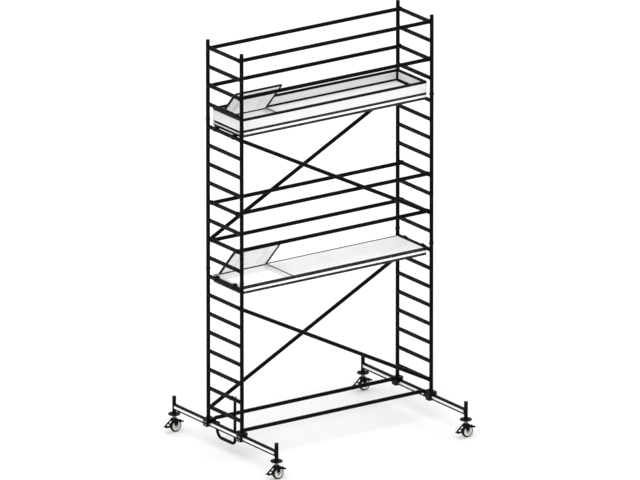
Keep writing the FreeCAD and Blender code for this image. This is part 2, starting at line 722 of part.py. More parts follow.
def tyre():
    half = "tyre_width / 2"
    tread = rod("tyre_tread", "y", "wheel_diameter / 2", "-" + half, half, **wheel_at)
    round_tread = rounded_rims("tyre_round", tread, 0.5 * sheet.get("tyre_depth"))
    seat = rod("tyre_seat", "y", "wheel_diameter / 2 - tyre_depth", "-" + half, half, **wheel_at)
    return cut("tyre_whole", round_tread, seat)


def wheel_centre():
    rim_radius = "wheel_diameter / 2 - tyre_depth"
    rim = tube("wheel_rim", "y", rim_radius, rim_radius + " - rim_wall", "-tyre_width / 2", "tyre_width / 2", **wheel_at)
    web = rod("wheel_web", "y", rim_radius + " - rim_wall / 2", "-web_thickness / 2", "web_thickness / 2", **wheel_at)
    hub = rod("wheel_hub", "y", "hub_diameter / 2", "-hub_length / 2", "hub_length / 2", **wheel_at)
    bore = rod("wheel_bore", "y", "axle_diameter / 2 + running", "-hub_length", "hub_length", **wheel_at)
    return cut("wheel_whole", fuse("wheel_body", rim, web, hub), bore)


def brake_pedal():
    inner, outer = "(fork_gap / 2 + fork_leg + slip)", "(fork_gap / 2 + fork_leg + slip + pedal_cheek)"
    across = ("-" + outer, outer)
    pieces = [rod("pedal_pin", "y", "pedal_pivot / 2", *across, x="-pivot_setback", z="pivot_height")]
    for hand, low in (("front", "-" + outer), ("back", inner)):
        for arm, reach, slope in (("tread", "(pedal_reach - pivot_setback) / cos(pedal_slope)", "(180 - pedal_slope)"),
                                  ("toe", "toe_reach / cos(toe_slope)", "toe_slope")):
            bar = block(f"pedal_{arm}_{hand}", ("0", reach), ("0", "pedal_cheek"), ("0", "pedal_arm"))
            bar.Placement = Placement(Vector(), Rotation(Y, SOME_ANGLE))
            bar.setExpression("Placement.Rotation.Angle", bound(slope))
            place(bar, f"-pivot_setback - pedal_arm / 2 * sin({slope})", low,
                  f"pivot_height - pedal_arm / 2 * cos({slope})")
            pieces.append(bar)
    for name, middle, half, level in (("tread", "-pedal_reach", "pedal_tread / 2", "tread_level"),
                                      ("toe", "toe_reach - pivot_setback", "pedal_toe / 2", "toe_level")):
        pieces.append(block(f"pedal_{name}_plate", (f"{middle} - {half}", f"{middle} + {half}"), across,
                            (f"{level} - pedal_cheek", f"{level} + pedal_cheek")))
    # the shoe presses on the tyre behind its top; at rest it stands just clear of the rubber
    off_centre = "(wheel_diameter / 2 + slip + brake_shoe / 2)"
    pieces.append(rod("pedal_shoe", "y", "brake_shoe / 2", *across, x=f"trail - {off_centre} * cos(shoe_angle)",
                      z=f"axle_level + {off_centre} * sin(shoe_angle)"))
    return fuse("pedal_whole", *pieces)


CASTOR_PIECES = {
    "castor_spindle": [castor_spindle()],
    "castor_nut": [handwheel_nut()],
    "castor_fork": fork(),
    "castor_tyre": [tyre()],
    "castor_wheel": [wheel_centre()],
    "brake_pedal": [brake_pedal()],
}
for label, members in CASTOR_PIECES.items():
    for side, side_x in SIDES:
        for face, sign in (("front", "-"), ("back", "")):
            node(f"{label}_{face}_{side}", members, side_x, sign + "castor_y")

# Check every object, then write each piece to its own file

doc.recompute()
for item in doc.Objects:
    if "Invalid" in item.State or "Error" in item.State:
        raise RuntimeError(f"{item.Name} failed: {item.State}")
for piece in NODES:
    if piece.Shape.isNull() or not piece.Shape.isValid() or not piece.Shape.Solids:
        raise RuntimeError(f"{piece.Label} has no valid shape")

os.makedirs("parts", exist_ok=True)
for piece in NODES:
    piece.Shape.exportStep(f"parts/{piece.Label}.step")
print(f"{len(NODES)} pieces, {sum(len(piece.Shape.Solids) for piece in NODES)} solids")
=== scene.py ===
import math

import bmesh
import bpy
from mathutils import Matrix, Vector


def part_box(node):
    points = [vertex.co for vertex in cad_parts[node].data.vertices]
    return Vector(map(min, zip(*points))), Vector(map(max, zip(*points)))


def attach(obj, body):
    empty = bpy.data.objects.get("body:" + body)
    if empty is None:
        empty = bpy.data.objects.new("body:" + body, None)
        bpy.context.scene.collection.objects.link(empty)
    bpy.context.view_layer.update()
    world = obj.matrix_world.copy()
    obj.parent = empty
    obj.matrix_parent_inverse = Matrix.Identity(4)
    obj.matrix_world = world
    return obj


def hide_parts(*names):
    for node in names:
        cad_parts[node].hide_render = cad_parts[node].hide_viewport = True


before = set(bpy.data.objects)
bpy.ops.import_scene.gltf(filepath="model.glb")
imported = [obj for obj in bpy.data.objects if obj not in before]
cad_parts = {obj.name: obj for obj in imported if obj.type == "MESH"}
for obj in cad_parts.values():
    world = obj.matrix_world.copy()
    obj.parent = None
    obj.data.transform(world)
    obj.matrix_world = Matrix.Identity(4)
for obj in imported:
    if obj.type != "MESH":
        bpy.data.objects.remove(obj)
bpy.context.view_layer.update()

# Camera: a very long lens far from the tower, seen from the front left and a little above,
# so that the posts stand parallel.
AZIMUTH, ELEVATION = math.radians(-34.7), math.radians(18.0)
STAND_OFF = 272.0
AIM = Vector((0, 0, 2.613))
towards_camera = Vector((
    math.sin(AZIMUTH) * math.cos(ELEVATION),
    -math.cos(AZIMUTH) * math.cos(ELEVATION),
    math.sin(ELEVATION),
))
camera_data = bpy.data.cameras.new("long_lens")
camera_data.lens = 1200
camera_data.clip_start, camera_data.clip_end = 10, 1000
camera = bpy.data.objects.new("camera", camera_data)
bpy.context.collection.objects.link(camera)
camera.location = AIM + towards_camera * STAND_OFF
camera.rotation_mode = "QUATERNION"
camera.rotation_quaternion = (-towards_camera).to_track_quat("-Z", "Y")
bpy.context.scene.camera = camera

# Studio: a plain pale floor, a broad soft lamp overhead, a faint soft fill from the front and
# even light from the white surroundings.
MM = 0.001
FLOOR_REACH = 70.0
LAMP_SPREAD = math.radians(40)


def linear(hex_colour):
    """An sRGB hex colour as the linear numbers that a shader takes."""
    parts = [int(hex_colour[k:k + 2], 16) / 255 for k in (1, 3, 5)]
    return (*(c / 12.92 if c <= 0.04045 else ((c + 0.055) / 1.055) ** 2.4 for c in parts), 1)


def add(tree, kind, feeds=None, **settings):
    """Adds a node: settings are its own properties, feeds are values or sockets for its inputs."""
    new = tree.nodes.new("ShaderNode" + kind)
    for key, value in settings.items():
        setattr(new, key, value)
    for key, value in (feeds or {}).items():
        if isinstance(value, bpy.types.NodeSocket):
            tree.links.new(value, new.inputs[key])
        else:
            new.inputs[key].default_value = value
    return new


def start_material(name, **fixed):
    """A node material with one Principled shader; fixed holds the values that are even all over it."""
    material = bpy.data.materials.new(name)
    material.use_nodes = True
    shader = material.node_tree.nodes["Principled BSDF"]
    for key, value in fixed.items():
        shader.inputs[key.replace("_", " ")].default_value = value
    return material, material.node_tree, shader


def blend_colours(tree, share, first, second):
    """The colour between two others at a share that a pattern gives."""
    mix = add(tree, "Mix", data_type="RGBA", feeds={0: share})
    for socket, colour in ((mix.inputs[6], first), (mix.inputs[7], second)):
        if isinstance(colour, bpy.types.NodeSocket):
            tree.links.new(colour, socket)
        else:
            socket.default_value = linear(colour)
    return mix.outputs[2]


def between(tree, value, low, high, to_low=0.0, to_high=1.0):
    """The pattern value stretched from one range to another, clamped."""
    return add(tree, "MapRange", feeds={0: value, 1: low, 2: high, 3: to_low, 4: to_high}).outputs[0]


floor_paint, tree, shader = start_material("matt_white_studio_floor", Roughness=0.9, Specular_IOR_Level=0.2)
place = add(tree, "TexCoord").outputs["Object"]
# roller marks in the floor paint, about 0.4 m across
rolled = add(tree, "TexNoise", feeds={"Vector": place, "Scale": 2.5, "Detail": 3.0}).outputs[0]
tree.links.new(blend_colours(tree, rolled, "#F6F6F6", "#F9F9F9"), shader.inputs["Base Color"])

floor_mesh = bpy.data.meshes.new("studio_floor")
shape = bmesh.new()
bmesh.ops.create_circle(shape, cap_ends=True, radius=FLOOR_REACH, segments=96)
shape.to_mesh(floor_mesh)
shape.free()
floor_mesh.materials.append(floor_paint)
floor = bpy.data.objects.new("studio_floor", floor_mesh)
floor.location.z = -1 * MM
bpy.context.collection.objects.link(floor)

world = bpy.data.worlds.new("white_room")
bpy.context.scene.world = world
world.use_nodes = True
world.node_tree.nodes["Background"].inputs["Color"].default_value = linear("#FFFFFF")
world.node_tree.nodes["Background"].inputs["Strength"].default_value = 1.0
for name, energy, tilt, turn in (("key_lamp", 0.8, 32, -50), ("front_fill_lamp", 0.35, 70, -30)):
    lamp = bpy.data.objects.new(name, bpy.data.lights.new(name, "SUN"))
    lamp.data.energy, lamp.data.angle = energy, LAMP_SPREAD
    lamp.rotation_euler = (math.radians(tilt), 0, math.radians(turn))
    bpy.context.collection.objects.link(lamp)
bpy.context.scene.view_settings.view_transform = "Standard"

# Ladder frames: steel tubes coped and welded into ladders, then powder coated satin black.
# Each rung carries pressed grip ribs, and every joint has a rippled fillet weld under the coat.
POST_RADIUS = 25.4 * MM
WELD_RADIUS, WELD_RIPPLES, WELD_STEPS, WELD_DIP = 3.2 * MM, 22, 3, 0.72
WELD_SPACE = 0.4 * MM
RIB_HEIGHT, RIB_WIDTH, RIBS = 1.1 * MM, 3.2 * MM, 20
RIB_REACH = 262 * MM


def powder_coat(name, dark, scuffed, roughness):
    """Powder coat on steel: an even dark film with orange peel, dulled where it is handled.

    It gives a soft broad gloss. Orange peel is about 2 mm across and is drawn at 7 mm, and chips
    show grey along edges within about 2.5 mm of them.
    """
    material, tree, shader = start_material(name, IOR=1.5, Specular_IOR_Level=0.06)
    place = add(tree, "TexCoord").outputs["Object"]
    peel = add(tree, "TexNoise", feeds={"Vector": place, "Scale": 1 / (7 * MM), "Detail": 2.0}).outputs[0]
    worn = {"Vector": place, "Scale": 1 / (180 * MM), "Detail": 5.0}
    handled = add(tree, "TexNoise", feeds=worn).outputs[0]
    dulled = between(tree, handled, 0.42, 0.72)
    rounded = add(tree, "Bevel", samples=4, feeds={"Radius": 2.5 * MM}).outputs[0]
    plain = add(tree, "NewGeometry").outputs["Normal"]
    facing = add(tree, "VectorMath", operation="DOT_PRODUCT", feeds={0: rounded, 1: plain})
    edge = between(tree, facing.outputs["Value"], 0.93, 0.8)
    nicks = add(tree, "TexNoise", feeds={"Vector": place, "Scale": 1 / (12 * MM), "Detail": 4.0}).outputs[0]
    chipped = add(tree, "Math", operation="MULTIPLY", feeds={0: edge, 1: between(tree, nicks, 0.52, 0.6)})
    coat = blend_colours(tree, dulled, dark, scuffed)
    colour = blend_colours(tree, chipped.outputs[0], coat, "#77797B")
    tree.links.new(colour, shader.inputs["Base Color"])
    tree.links.new(between(tree, dulled, 0, 1, roughness, roughness + 0.14), shader.inputs["Roughness"])
    bump = add(tree, "Bump", feeds={"Height": peel, "Strength": 0.25, "Distance": 0.6 * MM})
    tree.links.new(bump.outputs[0], shader.inputs["Normal"])
    return material


def coat_node(name, material):
    """Gives a carried-over CAD node its finish."""
    for slot in bpy.data.objects[name].material_slots:
        slot.material = material


def finished(name, shape, body, material, replaces=(), bevel=0.0, smooth=True):
    """Turns a bmesh into a piece that rides on a body."""
    bmesh.ops.recalc_face_normals(shape, faces=shape.faces)
    mesh = bpy.data.meshes.new(name)
    shape.to_mesh(mesh)
    shape.free()
    mesh.materials.append(material)
    piece = bpy.data.objects.new(name, mesh)
    bpy.context.collection.objects.link(piece)
    if bevel:
        rounding = piece.modifiers.new("rounded_edges", "BEVEL")
        rounding.width, rounding.segments, rounding.limit_method = bevel, 2, "ANGLE"
    if smooth:
        mesh.set_sharp_from_angle(angle=math.radians(35))
    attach(piece, body)
    if replaces:
        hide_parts(*replaces)
    return piece


def swept(shape, path, radii, centre, sides=6):
    """Sweeps a round section along a closed path; its sides are counted from the path's centre."""
    rings, count = [], len(path)
    for k, point in enumerate(path):
        tangent = (path[(k + 1) % count] - path[k - 1]).normalized()
        outward = point - centre
        outward = (outward - tangent * outward.dot(tangent)).normalized()
        across = tangent.cross(outward)
        rings.append([
            shape.verts.new(point + radii[k] * (outward * math.cos(a) + across * math.sin(a)))
            for a in (math.tau * s / sides for s in range(sides))
        ])
    for k in range(count):
        here, there = rings[k], rings[(k + 1) % count]
        for s in range(sides):
            t = (s + 1) % sides
            shape.faces.new((here[s], here[t], there[t], there[s]))


def box(shape, low, high, at=Matrix()):
    """Adds a block between two corners, placed by a matrix, for a rounding modifier to finish."""
    corners = [
        shape.verts.new(at @ Vector((x, y, z)))
        for x in (low[0], high[0]) for y in (low[1], high[1]) for z in (low[2], high[2])
    ]
    for face in ((0, 1, 3, 2), (4, 6, 7, 5), (0, 4, 5, 1), (2, 3, 7, 6), (0, 2, 6, 4), (1, 5, 7, 3)):
        shape.faces.new([corners[k] for k in face])


frame_coat = powder_coat("satin_black_powder_coat_on_frames", "#020203", "#070708", 0.42)
# each ladder's foot, its first rung above the foot, and its number of rungs
LADDERS = {"base": (405.6, 150, 8), "middle": (2405.6, 150, 8), "top": (4405.6, 200, 4)}
RUNG_PITCH = 250 * MM
for side in ("left", "right"):
    for level, (foot, first, rungs) in LADDERS.items():
        name = f"frame_{level}_{side}"
        coat_node(name, frame_coat)
        low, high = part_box(name)
        middle = (low + high) / 2
        half = (high.y - low.y) / 2 - POST_RADIUS
        welds, ribs = bmesh.new(), bmesh.new()
        for n in range(rungs):
            height = (foot + first) * MM + n * RUNG_PITCH
            for hand in (-1, 1):
                steps = WELD_RIPPLES * WELD_STEPS
                reach = POST_RADIUS + WELD_SPACE
                path, radii = [], []
                for k in range(steps):
                    a = math.tau * k / steps
                    across = reach * math.cos(a)
                    inward = math.sqrt(max(0, reach ** 2 - across ** 2))
                    path.append(Vector((middle.x + across, hand * (half - inward),
                                        height + reach * math.sin(a))))
                    radii.append(WELD_RADIUS * (1 if k % WELD_STEPS else WELD_DIP))
                swept(welds, path, radii, Vector((middle.x, hand * half, height)))
            for k in range(RIBS):
                turn = Matrix.Rotation(math.tau * k / RIBS, 4, "Y")
                turn = Matrix.Translation((middle.x, 0, height)) @ turn
                box(ribs, (-RIB_WIDTH / 2, -RIB_REACH, POST_RADIUS - RIB_HEIGHT),
                    (RIB_WIDTH / 2, RIB_REACH, POST_RADIUS + RIB_HEIGHT / 2), turn)
        finished(f"weld_beads_{level}_{side}", welds, "tower", frame_coat)
        finished(f"rung_grip_ribs_{level}_{side}", ribs, "tower", frame_coat, smooth=False)

# Joints of the posts: zinc-plated steel spigots inside, and outside each joint a spring-steel clip
# whose headed pin drops through both tubes and is held by a wire bail.
CLIP_RADIUS = 29.7 * MM
PIN_HEAD, PIN_LENGTH, PIN_RISE = 6.5 * MM, 9 * MM, 5 * MM
WIRE, BAIL_DROP, BAIL_END = 2.2 * MM, 22 * MM, 168


def zinc_plate(name, colour, roughness):
    """Bright zinc plate on steel: a pale blue-grey metal with faint spangle and drawing marks.

    The spangle is about 3 mm across and is drawn at 9 mm.
    """
    material, tree, shader = start_material(name, Metallic=1.0)
    place = add(tree, "TexCoord").outputs["Object"]
    spangle = add(tree, "TexVoronoi", feeds={"Vector": place, "Scale": 1 / (9 * MM)}).outputs["Color"]
    cloud = add(tree, "TexNoise", feeds={"Vector": place, "Scale": 1 / (40 * MM), "Detail": 4.0}).outputs[0]
    shade = add(tree, "SeparateColor", feeds={0: spangle}).outputs[0]
    tree.links.new(blend_colours(tree, between(tree, shade, 0, 1, 0.0, 0.6), colour, "#6E7276"),
                   shader.inputs["Base Color"])
    tree.links.new(between(tree, cloud, 0.3, 0.7, roughness, roughness + 0.15), shader.inputs["Roughness"])
    bump = add(tree, "Bump", feeds={"Height": cloud, "Strength": 0.2, "Distance": 0.4 * MM})
    tree.links.new(bump.outputs[0], shader.inputs["Normal"])
    return material


def turned(shape, profile, at=Matrix(), segments=24, closed=False):
    """Turns (radius, height) points about the Z axis of a matrix; a radius of 0 closes the end."""
    rings = []
    for radius, height in profile:
        angles = [0] if radius == 0 else [math.tau * k / segments for k in range(segments)]
        rings.append([
            shape.verts.new(at @ Vector((radius * math.cos(a), radius * math.sin(a), height)))
            for a in angles
        ])
    pairs = list(zip(rings, rings[1:])) + ([(rings[-1], rings[0])] if closed else [])
    for here, there in pairs:
        for k in range(segments):
            t = k + 1
            corners = (here[k % len(here)], here[t % len(here)] if len(here) > 1 else here[0],
                       there[t % len(there)] if len(there) > 1 else there[0], there[k % len(there)])
            corners = list(dict.fromkeys(corners))
            if len(corners) > 2:
                shape.faces.new(corners)


def pointing(place, direction):
    """A matrix whose Z axis points along a direction from a place."""
    return Matrix.Translation(place) @ Vector(direction).to_track_quat("Z", "Y").to_matrix().to_4x4()


def domed_head(shape, at, radius, height, segments=16):
    """A domed rivet or pin head standing on the matrix's XY plane."""
    dome = [(radius * math.cos(a), height * math.sin(a)) for a in (math.pi / 8 * k for k in range(4))]
    turned(shape, [(0, -height / 2), (radius, -height / 2)] + dome + [(0, height)], at, segments)


def wire(shape, points, radius, sides=8):
    """A bent wire through a list of points, with flat ends."""
    rings, normal = [], None
    for k, point in enumerate(points):
        tangent = (points[min(k + 1, len(points) - 1)] - points[max(k - 1, 0)]).normalized()
        if normal is None:
            normal = tangent.orthogonal()
        normal = (normal - tangent * normal.dot(tangent)).normalized()
        across = tangent.cross(normal)
        rings.append([
            shape.verts.new(point + radius * (normal * math.cos(a) + across * math.sin(a)))
            for a in (math.tau * s / sides for s in range(sides))
        ])
    for here, there in zip(rings, rings[1:]):
        for s in range(sides):
            t = (s + 1) % sides
            shape.faces.new((here[s], here[t], there[t], there[s]))
    shape.faces.new(rings[0])
    shape.faces.new(rings[-1])


zinc = zinc_plate("bright_zinc_plated_steel", "#A9ADB1", 0.3)
black_zinc = powder_coat("black_passivated_zinc_on_clips", "#060607", "#121213", 0.36)
coat_node("frame_spigots", zinc)
coat_node("interlock_clips", black_zinc)
pins, bails = bmesh.new(), bmesh.new()
low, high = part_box("frame_base_right")
post_x = (high.x + low.x) / 2
post_y = high.y - POST_RADIUS
joints = [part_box(f"frame_{level}_left")[0].z for level in ("middle", "top")]
for joint in joints:
    for x in (-post_x, post_x):
        out = math.copysign(1, x)
        for y in (-post_y, post_y):
            centre = Vector((x, y, joint))
            head = centre + Vector((out * (CLIP_RADIUS + 1 * MM), 0, PIN_RISE))
            domed_head(pins, pointing(head, (out, 0, 0)), PIN_HEAD, PIN_LENGTH / 2)
            reach = CLIP_RADIUS + WIRE
            bail = []
            for degrees in range(-BAIL_END, BAIL_END + 1, 12):
                a = math.radians(degrees)
                drop = PIN_RISE - BAIL_DROP * (1 - abs(math.cos(a / 2)))
                bail.append(centre + Vector((out * reach * math.cos(a), reach * math.sin(a), drop)))
            wire(bails, bail, WIRE)
finished("clip_pins", pins, "tower", zinc)
finished("clip_bails", bails, "tower", black_zinc)

# Guard rails, braces, base struts and stirrup: the same black coated tubes, the rails and braces
# with cast claws riveted into their ends; a sprung latch under each claw locks it round the rung.
CLAW_REACH, CLAW_WIDTH = 46 * MM, 28 * MM
LATCH_INSIDE, LATCH_THICKNESS, LATCH_WIDTH = 26.5 * MM, 4 * MM, 14 * MM
LATCH_START, LATCH_SWEEP, LATCH_STEPS = -2, 118, 12
CLAW_RIVET_ALONG, CLAW_RIVET_UP, CLAW_RIVET_RADIUS = 31 * MM, 6 * MM, 3.2 * MM


def latch(shape, at):
    """A curved sprung finger that closes the mouth of a claw whose tube points along +X."""
    inner, outer = LATCH_INSIDE, LATCH_INSIDE + LATCH_THICKNESS
    rows = []
    for k in range(LATCH_STEPS + 1):
        a = math.radians(LATCH_START - LATCH_SWEEP * k / LATCH_STEPS)
        swell = 1 if k < LATCH_STEPS else 0.5
        rows.append([
            shape.verts.new(at @ Vector((r * math.cos(a), y * swell, r * math.sin(a))))
            for r, y in ((inner, -LATCH_WIDTH / 2), (inner, LATCH_WIDTH / 2),
                         (outer, LATCH_WIDTH / 2), (outer, -LATCH_WIDTH / 2))
        ])
    for here, there in zip(rows, rows[1:]):
        for s in range(4):
            t = (s + 1) % 4
            shape.faces.new((here[s], here[t], there[t], there[s]))
    shape.faces.new(rows[0])
    shape.faces.new(rows[-1])
    # the thumb tab that opens it
    box(shape, (LATCH_INSIDE + 1 * MM, -LATCH_WIDTH / 2, -26 * MM),
        (CLAW_REACH - 2 * MM, LATCH_WIDTH / 2, -22 * MM), at)


def claw_fixings(latches, rivets, at):
    """The latch and the four rivets of one claw."""
    latch(latches, at)
    for hand in (-1, 1):
        for up in (CLAW_RIVET_UP, -CLAW_RIVET_UP):
            spot = at @ pointing(Vector((CLAW_RIVET_ALONG, hand * CLAW_WIDTH / 2, up)), (0, hand, 0))
            domed_head(rivets, spot, CLAW_RIVET_RADIUS, 2 * MM, 12)


rail_coat = powder_coat("satin_black_powder_coat_on_rails", "#020203", "#080809", 0.4)
for name in ("access_stirrup", "base_struts"):
    coat_node(name, rail_coat)
bay = 2 * post_x
rise = 6 * RUNG_PITCH
for level in ("lower", "upper"):
    for face in ("front", "back"):
        coat_node(f"guard_rails_{level}_{face}", rail_coat)
        coat_node(f"brace_{level}_{face}", rail_coat)
        latches, rivets = bmesh.new(), bmesh.new()
        low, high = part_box(f"guard_rails_{level}_{face}")
        for height in (low.z + POST_RADIUS, low.z + POST_RADIUS + 2 * RUNG_PITCH):
            for out in (-1, 1):
                at = Matrix.Translation((out * post_x, (low.y + high.y) / 2, height))
                claw_fixings(latches, rivets, at @ Matrix.Rotation(math.pi if out > 0 else 0, 4, "Z"))
        low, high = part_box(f"brace_{level}_{face}")
        foot = (low.z + high.z) / 2 - rise / 2
        climbs = face == "back"
        slope = math.atan2(rise, bay)
        for out in (-1, 1):
            height = foot + (rise if (out > 0) == climbs else 0)
            at = Matrix.Translation((out * post_x, (low.y + high.y) / 2, height))
            turn = Matrix.Rotation(-slope if climbs else slope, 4, "Y")
            claw_fixings(latches, rivets, at @ turn @ Matrix.Rotation(math.pi if out > 0 else 0, 4, "Z"))
        finished(f"claw_latches_{level}_{face}", latches, "tower", black_zinc, bevel=0.8 * MM)
        finished(f"claw_rivets_{level}_{face}", rivets, "tower", zinc)

# Stirrup: a ribbed rubber sleeve is pulled over the step of the bent tube so that a boot grips it.
STIRRUP_RADIUS, STEP_HEIGHT = 19 * MM, 180 * MM
SLEEVE_RINGS, RING_HEIGHT = 26, 2.4 * MM
STEP_FROM, STEP_TO = -95 * MM, 144 * MM


def moulded_rubber(name, dark, light, roughness=0.75):
    """Black rubber: matt, with a faint grey bloom and a mould texture of 0.5 mm, drawn at 4 mm."""
    material, tree, shader = start_material(name, IOR=1.52, Specular_IOR_Level=0.15)
    place = add(tree, "TexCoord").outputs["Object"]
    bloom = add(tree, "TexNoise", feeds={"Vector": place, "Scale": 1 / (35 * MM), "Detail": 5.0}).outputs[0]
    grain = add(tree, "TexNoise", feeds={"Vector": place, "Scale": 1 / (4 * MM), "Detail": 2.0}).outputs[0]
    colour = blend_colours(tree, between(tree, bloom, 0.4, 0.7), dark, light)
    tree.links.new(colour, shader.inputs["Base Color"])
    tree.links.new(between(tree, bloom, 0.3, 0.7, roughness - 0.12, roughness), shader.inputs["Roughness"])
    bump = add(tree, "Bump", feeds={"Height": grain, "Strength": 0.3, "Distance": 0.3 * MM})
    tree.links.new(bump.outputs[0], shader.inputs["Normal"])
    return material


sleeve_rubber = moulded_rubber("black_rubber_step_sleeve", "#0B0B0B", "#191919")
step_x = -post_x + POST_RADIUS + STIRRUP_RADIUS + 0.3 * MM
profile = [(STIRRUP_RADIUS + 0.2 * MM, 0)]
pitch = (STEP_TO - STEP_FROM) / SLEEVE_RINGS
for k in range(SLEEVE_RINGS):
    for share, lift in ((0.05, 0.5), (0.3, 1.0), (0.7, 1.0), (0.95, 0.5)):
        profile.append((STIRRUP_RADIUS + RING_HEIGHT * lift, (k + share) * pitch))
profile.append((STIRRUP_RADIUS + 0.2 * MM, STEP_TO - STEP_FROM))
sleeve = bmesh.new()
turned(sleeve, profile, pointing(Vector((step_x, STEP_FROM, STEP_HEIGHT)), (0, 1, 0)), 32, closed=True)
finished("stirrup_step_sleeve", sleeve, "tower", sleeve_rubber)

# Mobile beams: steel box tube, black coated, with a bright ribbed aluminium web let in along each
# side, and at both ends a sleeve for the castor's screw, welded on and closed by a pushed-in cap.
WEB_HEIGHT, WEB_PROUD, WEB_RIBS = 32 * MM, 0.9 * MM, 3
BEAM_MIDDLE, BEAM_HALF_WIDTH, BEAM_HALF_HEIGHT = 340.6 * MM, 20 * MM, 40 * MM
SLEEVE_RADIUS = 25.4 * MM
SADDLE_HALF = 44 * MM


def mill_aluminium(name, bright, dull, roughness):
    """Extruded aluminium, clear anodised: pale, with fine die lines along the bar and a soft sheen.

    Die lines are 0.3 mm apart and are drawn at 3 mm.
    """
    material, tree, shader = start_material(name, Metallic=0.25, IOR=1.5)
    place = add(tree, "TexCoord").outputs["Object"]
    die = (1 / (3 * MM), 1.5, 1 / (3 * MM))
    along = add(tree, "Mapping", feeds={"Vector": place, "Scale": die}).outputs[0]
    lines = add(tree, "TexNoise", feeds={"Vector": along, "Scale": 1.0, "Detail": 2.0}).outputs[0]
    cloudy = {"Vector": place, "Scale": 1 / (120 * MM), "Detail": 4.0}
    cloud = add(tree, "TexNoise", feeds=cloudy).outputs[0]
    share = add(tree, "Math", operation="MULTIPLY", feeds={0: lines, 1: cloud}).outputs[0]
    colour = blend_colours(tree, between(tree, share, 0.12, 0.42), bright, dull)
    tree.links.new(colour, shader.inputs["Base Color"])
    tree.links.new(between(tree, lines, 0.3, 0.7, roughness, roughness + 0.12), shader.inputs["Roughness"])
    bump = add(tree, "Bump", feeds={"Height": lines, "Strength": 0.15, "Distance": 0.3 * MM})
    tree.links.new(bump.outputs[0], shader.inputs["Normal"])
    return material


def moulded_plastic(name, colour, worn, roughness=0.5):
    """Moulded plastic: even, slightly soft in its gloss, with spark texture, 0.3 mm, drawn at 3 mm."""
    material, tree, shader = start_material(name, IOR=1.49, Specular_IOR_Level=0.35)
    place = add(tree, "TexCoord").outputs["Object"]
    spark = add(tree, "TexNoise", feeds={"Vector": place, "Scale": 1 / (3 * MM), "Detail": 1.0}).outputs[0]
    dirt = add(tree, "TexNoise", feeds={"Vector": place, "Scale": 1 / (30 * MM), "Detail": 5.0}).outputs[0]
    shade = blend_colours(tree, between(tree, dirt, 0.45, 0.75), colour, worn)
    tree.links.new(shade, shader.inputs["Base Color"])
    tree.links.new(between(tree, dirt, 0.3, 0.7, roughness, roughness + 0.15), shader.inputs["Roughness"])
    bump = add(tree, "Bump", feeds={"Height": spark, "Strength": 0.2, "Distance": 0.2 * MM})
    tree.links.new(bump.outputs[0], shader.inputs["Normal"])
    return material


beam_coat = powder_coat("satin_black_powder_coat_on_beams", "#030304", "#09090A", 0.44)
web_metal = mill_aluminium("clear_anodised_beam_web", "#F4F4F5", "#E4E5E6", 0.42)
cap_plastic = moulded_plastic("black_polyethylene_caps", "#0A0A0A", "#161616")
coat_node("sleeve_caps", cap_plastic)
for side in ("left", "right"):
    coat_node(f"mobile_beam_{side}", beam_coat)
    low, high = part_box(f"mobile_beam_{side}")
    x, castor_y = (low.x + high.x) / 2, high.y - SLEEVE_RADIUS
    webs, welds = bmesh.new(), bmesh.new()
    stretches = (
        (-castor_y + SLEEVE_RADIUS, -post_y - SADDLE_HALF),
        (-post_y + SADDLE_HALF, post_y - SADDLE_HALF),
        (post_y + SADDLE_HALF, castor_y - SLEEVE_RADIUS),
    )
    for hand in (-1, 1):
        face = x + hand * BEAM_HALF_WIDTH
        for start, end in stretches:
            for rib in range(WEB_RIBS):
                step = WEB_HEIGHT / WEB_RIBS
                bottom = BEAM_MIDDLE - WEB_HEIGHT / 2 + rib * step
                box(webs, (min(face, face + hand * WEB_PROUD), start + 3 * MM, bottom),
                    (max(face, face + hand * WEB_PROUD), end - 3 * MM, bottom + step * 0.94))
        # the weld that closes the beam's end against its sleeve
        tops, sides = (-18, -9, 0, 9, 18), (34, 20, 7, -7, -20, -34)
        outline = [(a * MM, BEAM_HALF_HEIGHT) for a in tops] + [(BEAM_HALF_WIDTH, u * MM) for u in sides]
        outline += [(-a * MM, -BEAM_HALF_HEIGHT) for a in tops]
        outline += [(-BEAM_HALF_WIDTH, -u * MM) for u in sides]
        path = []
        for across, up in outline:
            inward = math.sqrt(SLEEVE_RADIUS ** 2 - across ** 2)
            path.append(Vector((x + across, hand * (castor_y - inward), BEAM_MIDDLE + up)))
        fine = []
        for k, point in enumerate(path):
            following = path[(k + 1) % len(path)]
            fine += [point.lerp(following, s / WELD_STEPS) for s in range(WELD_STEPS)]
        radii = [WELD_RADIUS * (1 if k % WELD_STEPS else 0.75) for k in range(len(fine))]
        swept(welds, fine, radii, Vector((x, hand * (castor_y - SLEEVE_RADIUS), BEAM_MIDDLE)))
    finished(f"beam_webs_{side}", webs, "tower", web_metal, smooth=False)
    finished(f"beam_welds_{side}", welds, "tower", beam_coat)

# Saddles: sand-cast boxes round the beams, black coated, each held on its beam by four hexagon
# bolts through its outer face, with a lip at both ends; their spigots carry the frames' posts.
BOLT_RADIUS, BOLT_HEIGHT, WASHER_RADIUS, WASHER_HEIGHT = 9.5 * MM, 7.5 * MM, 13 * MM, 1.6 * MM
BOLT_SHIFT, BOLT_ROWS = 24 * MM, (318 * MM, 362 * MM)
LIP_HALF_LENGTH, LIP_THICKNESS, LIP_BOTTOM, LIP_TOP = 58 * MM, 3 * MM, 384 * MM, 404 * MM


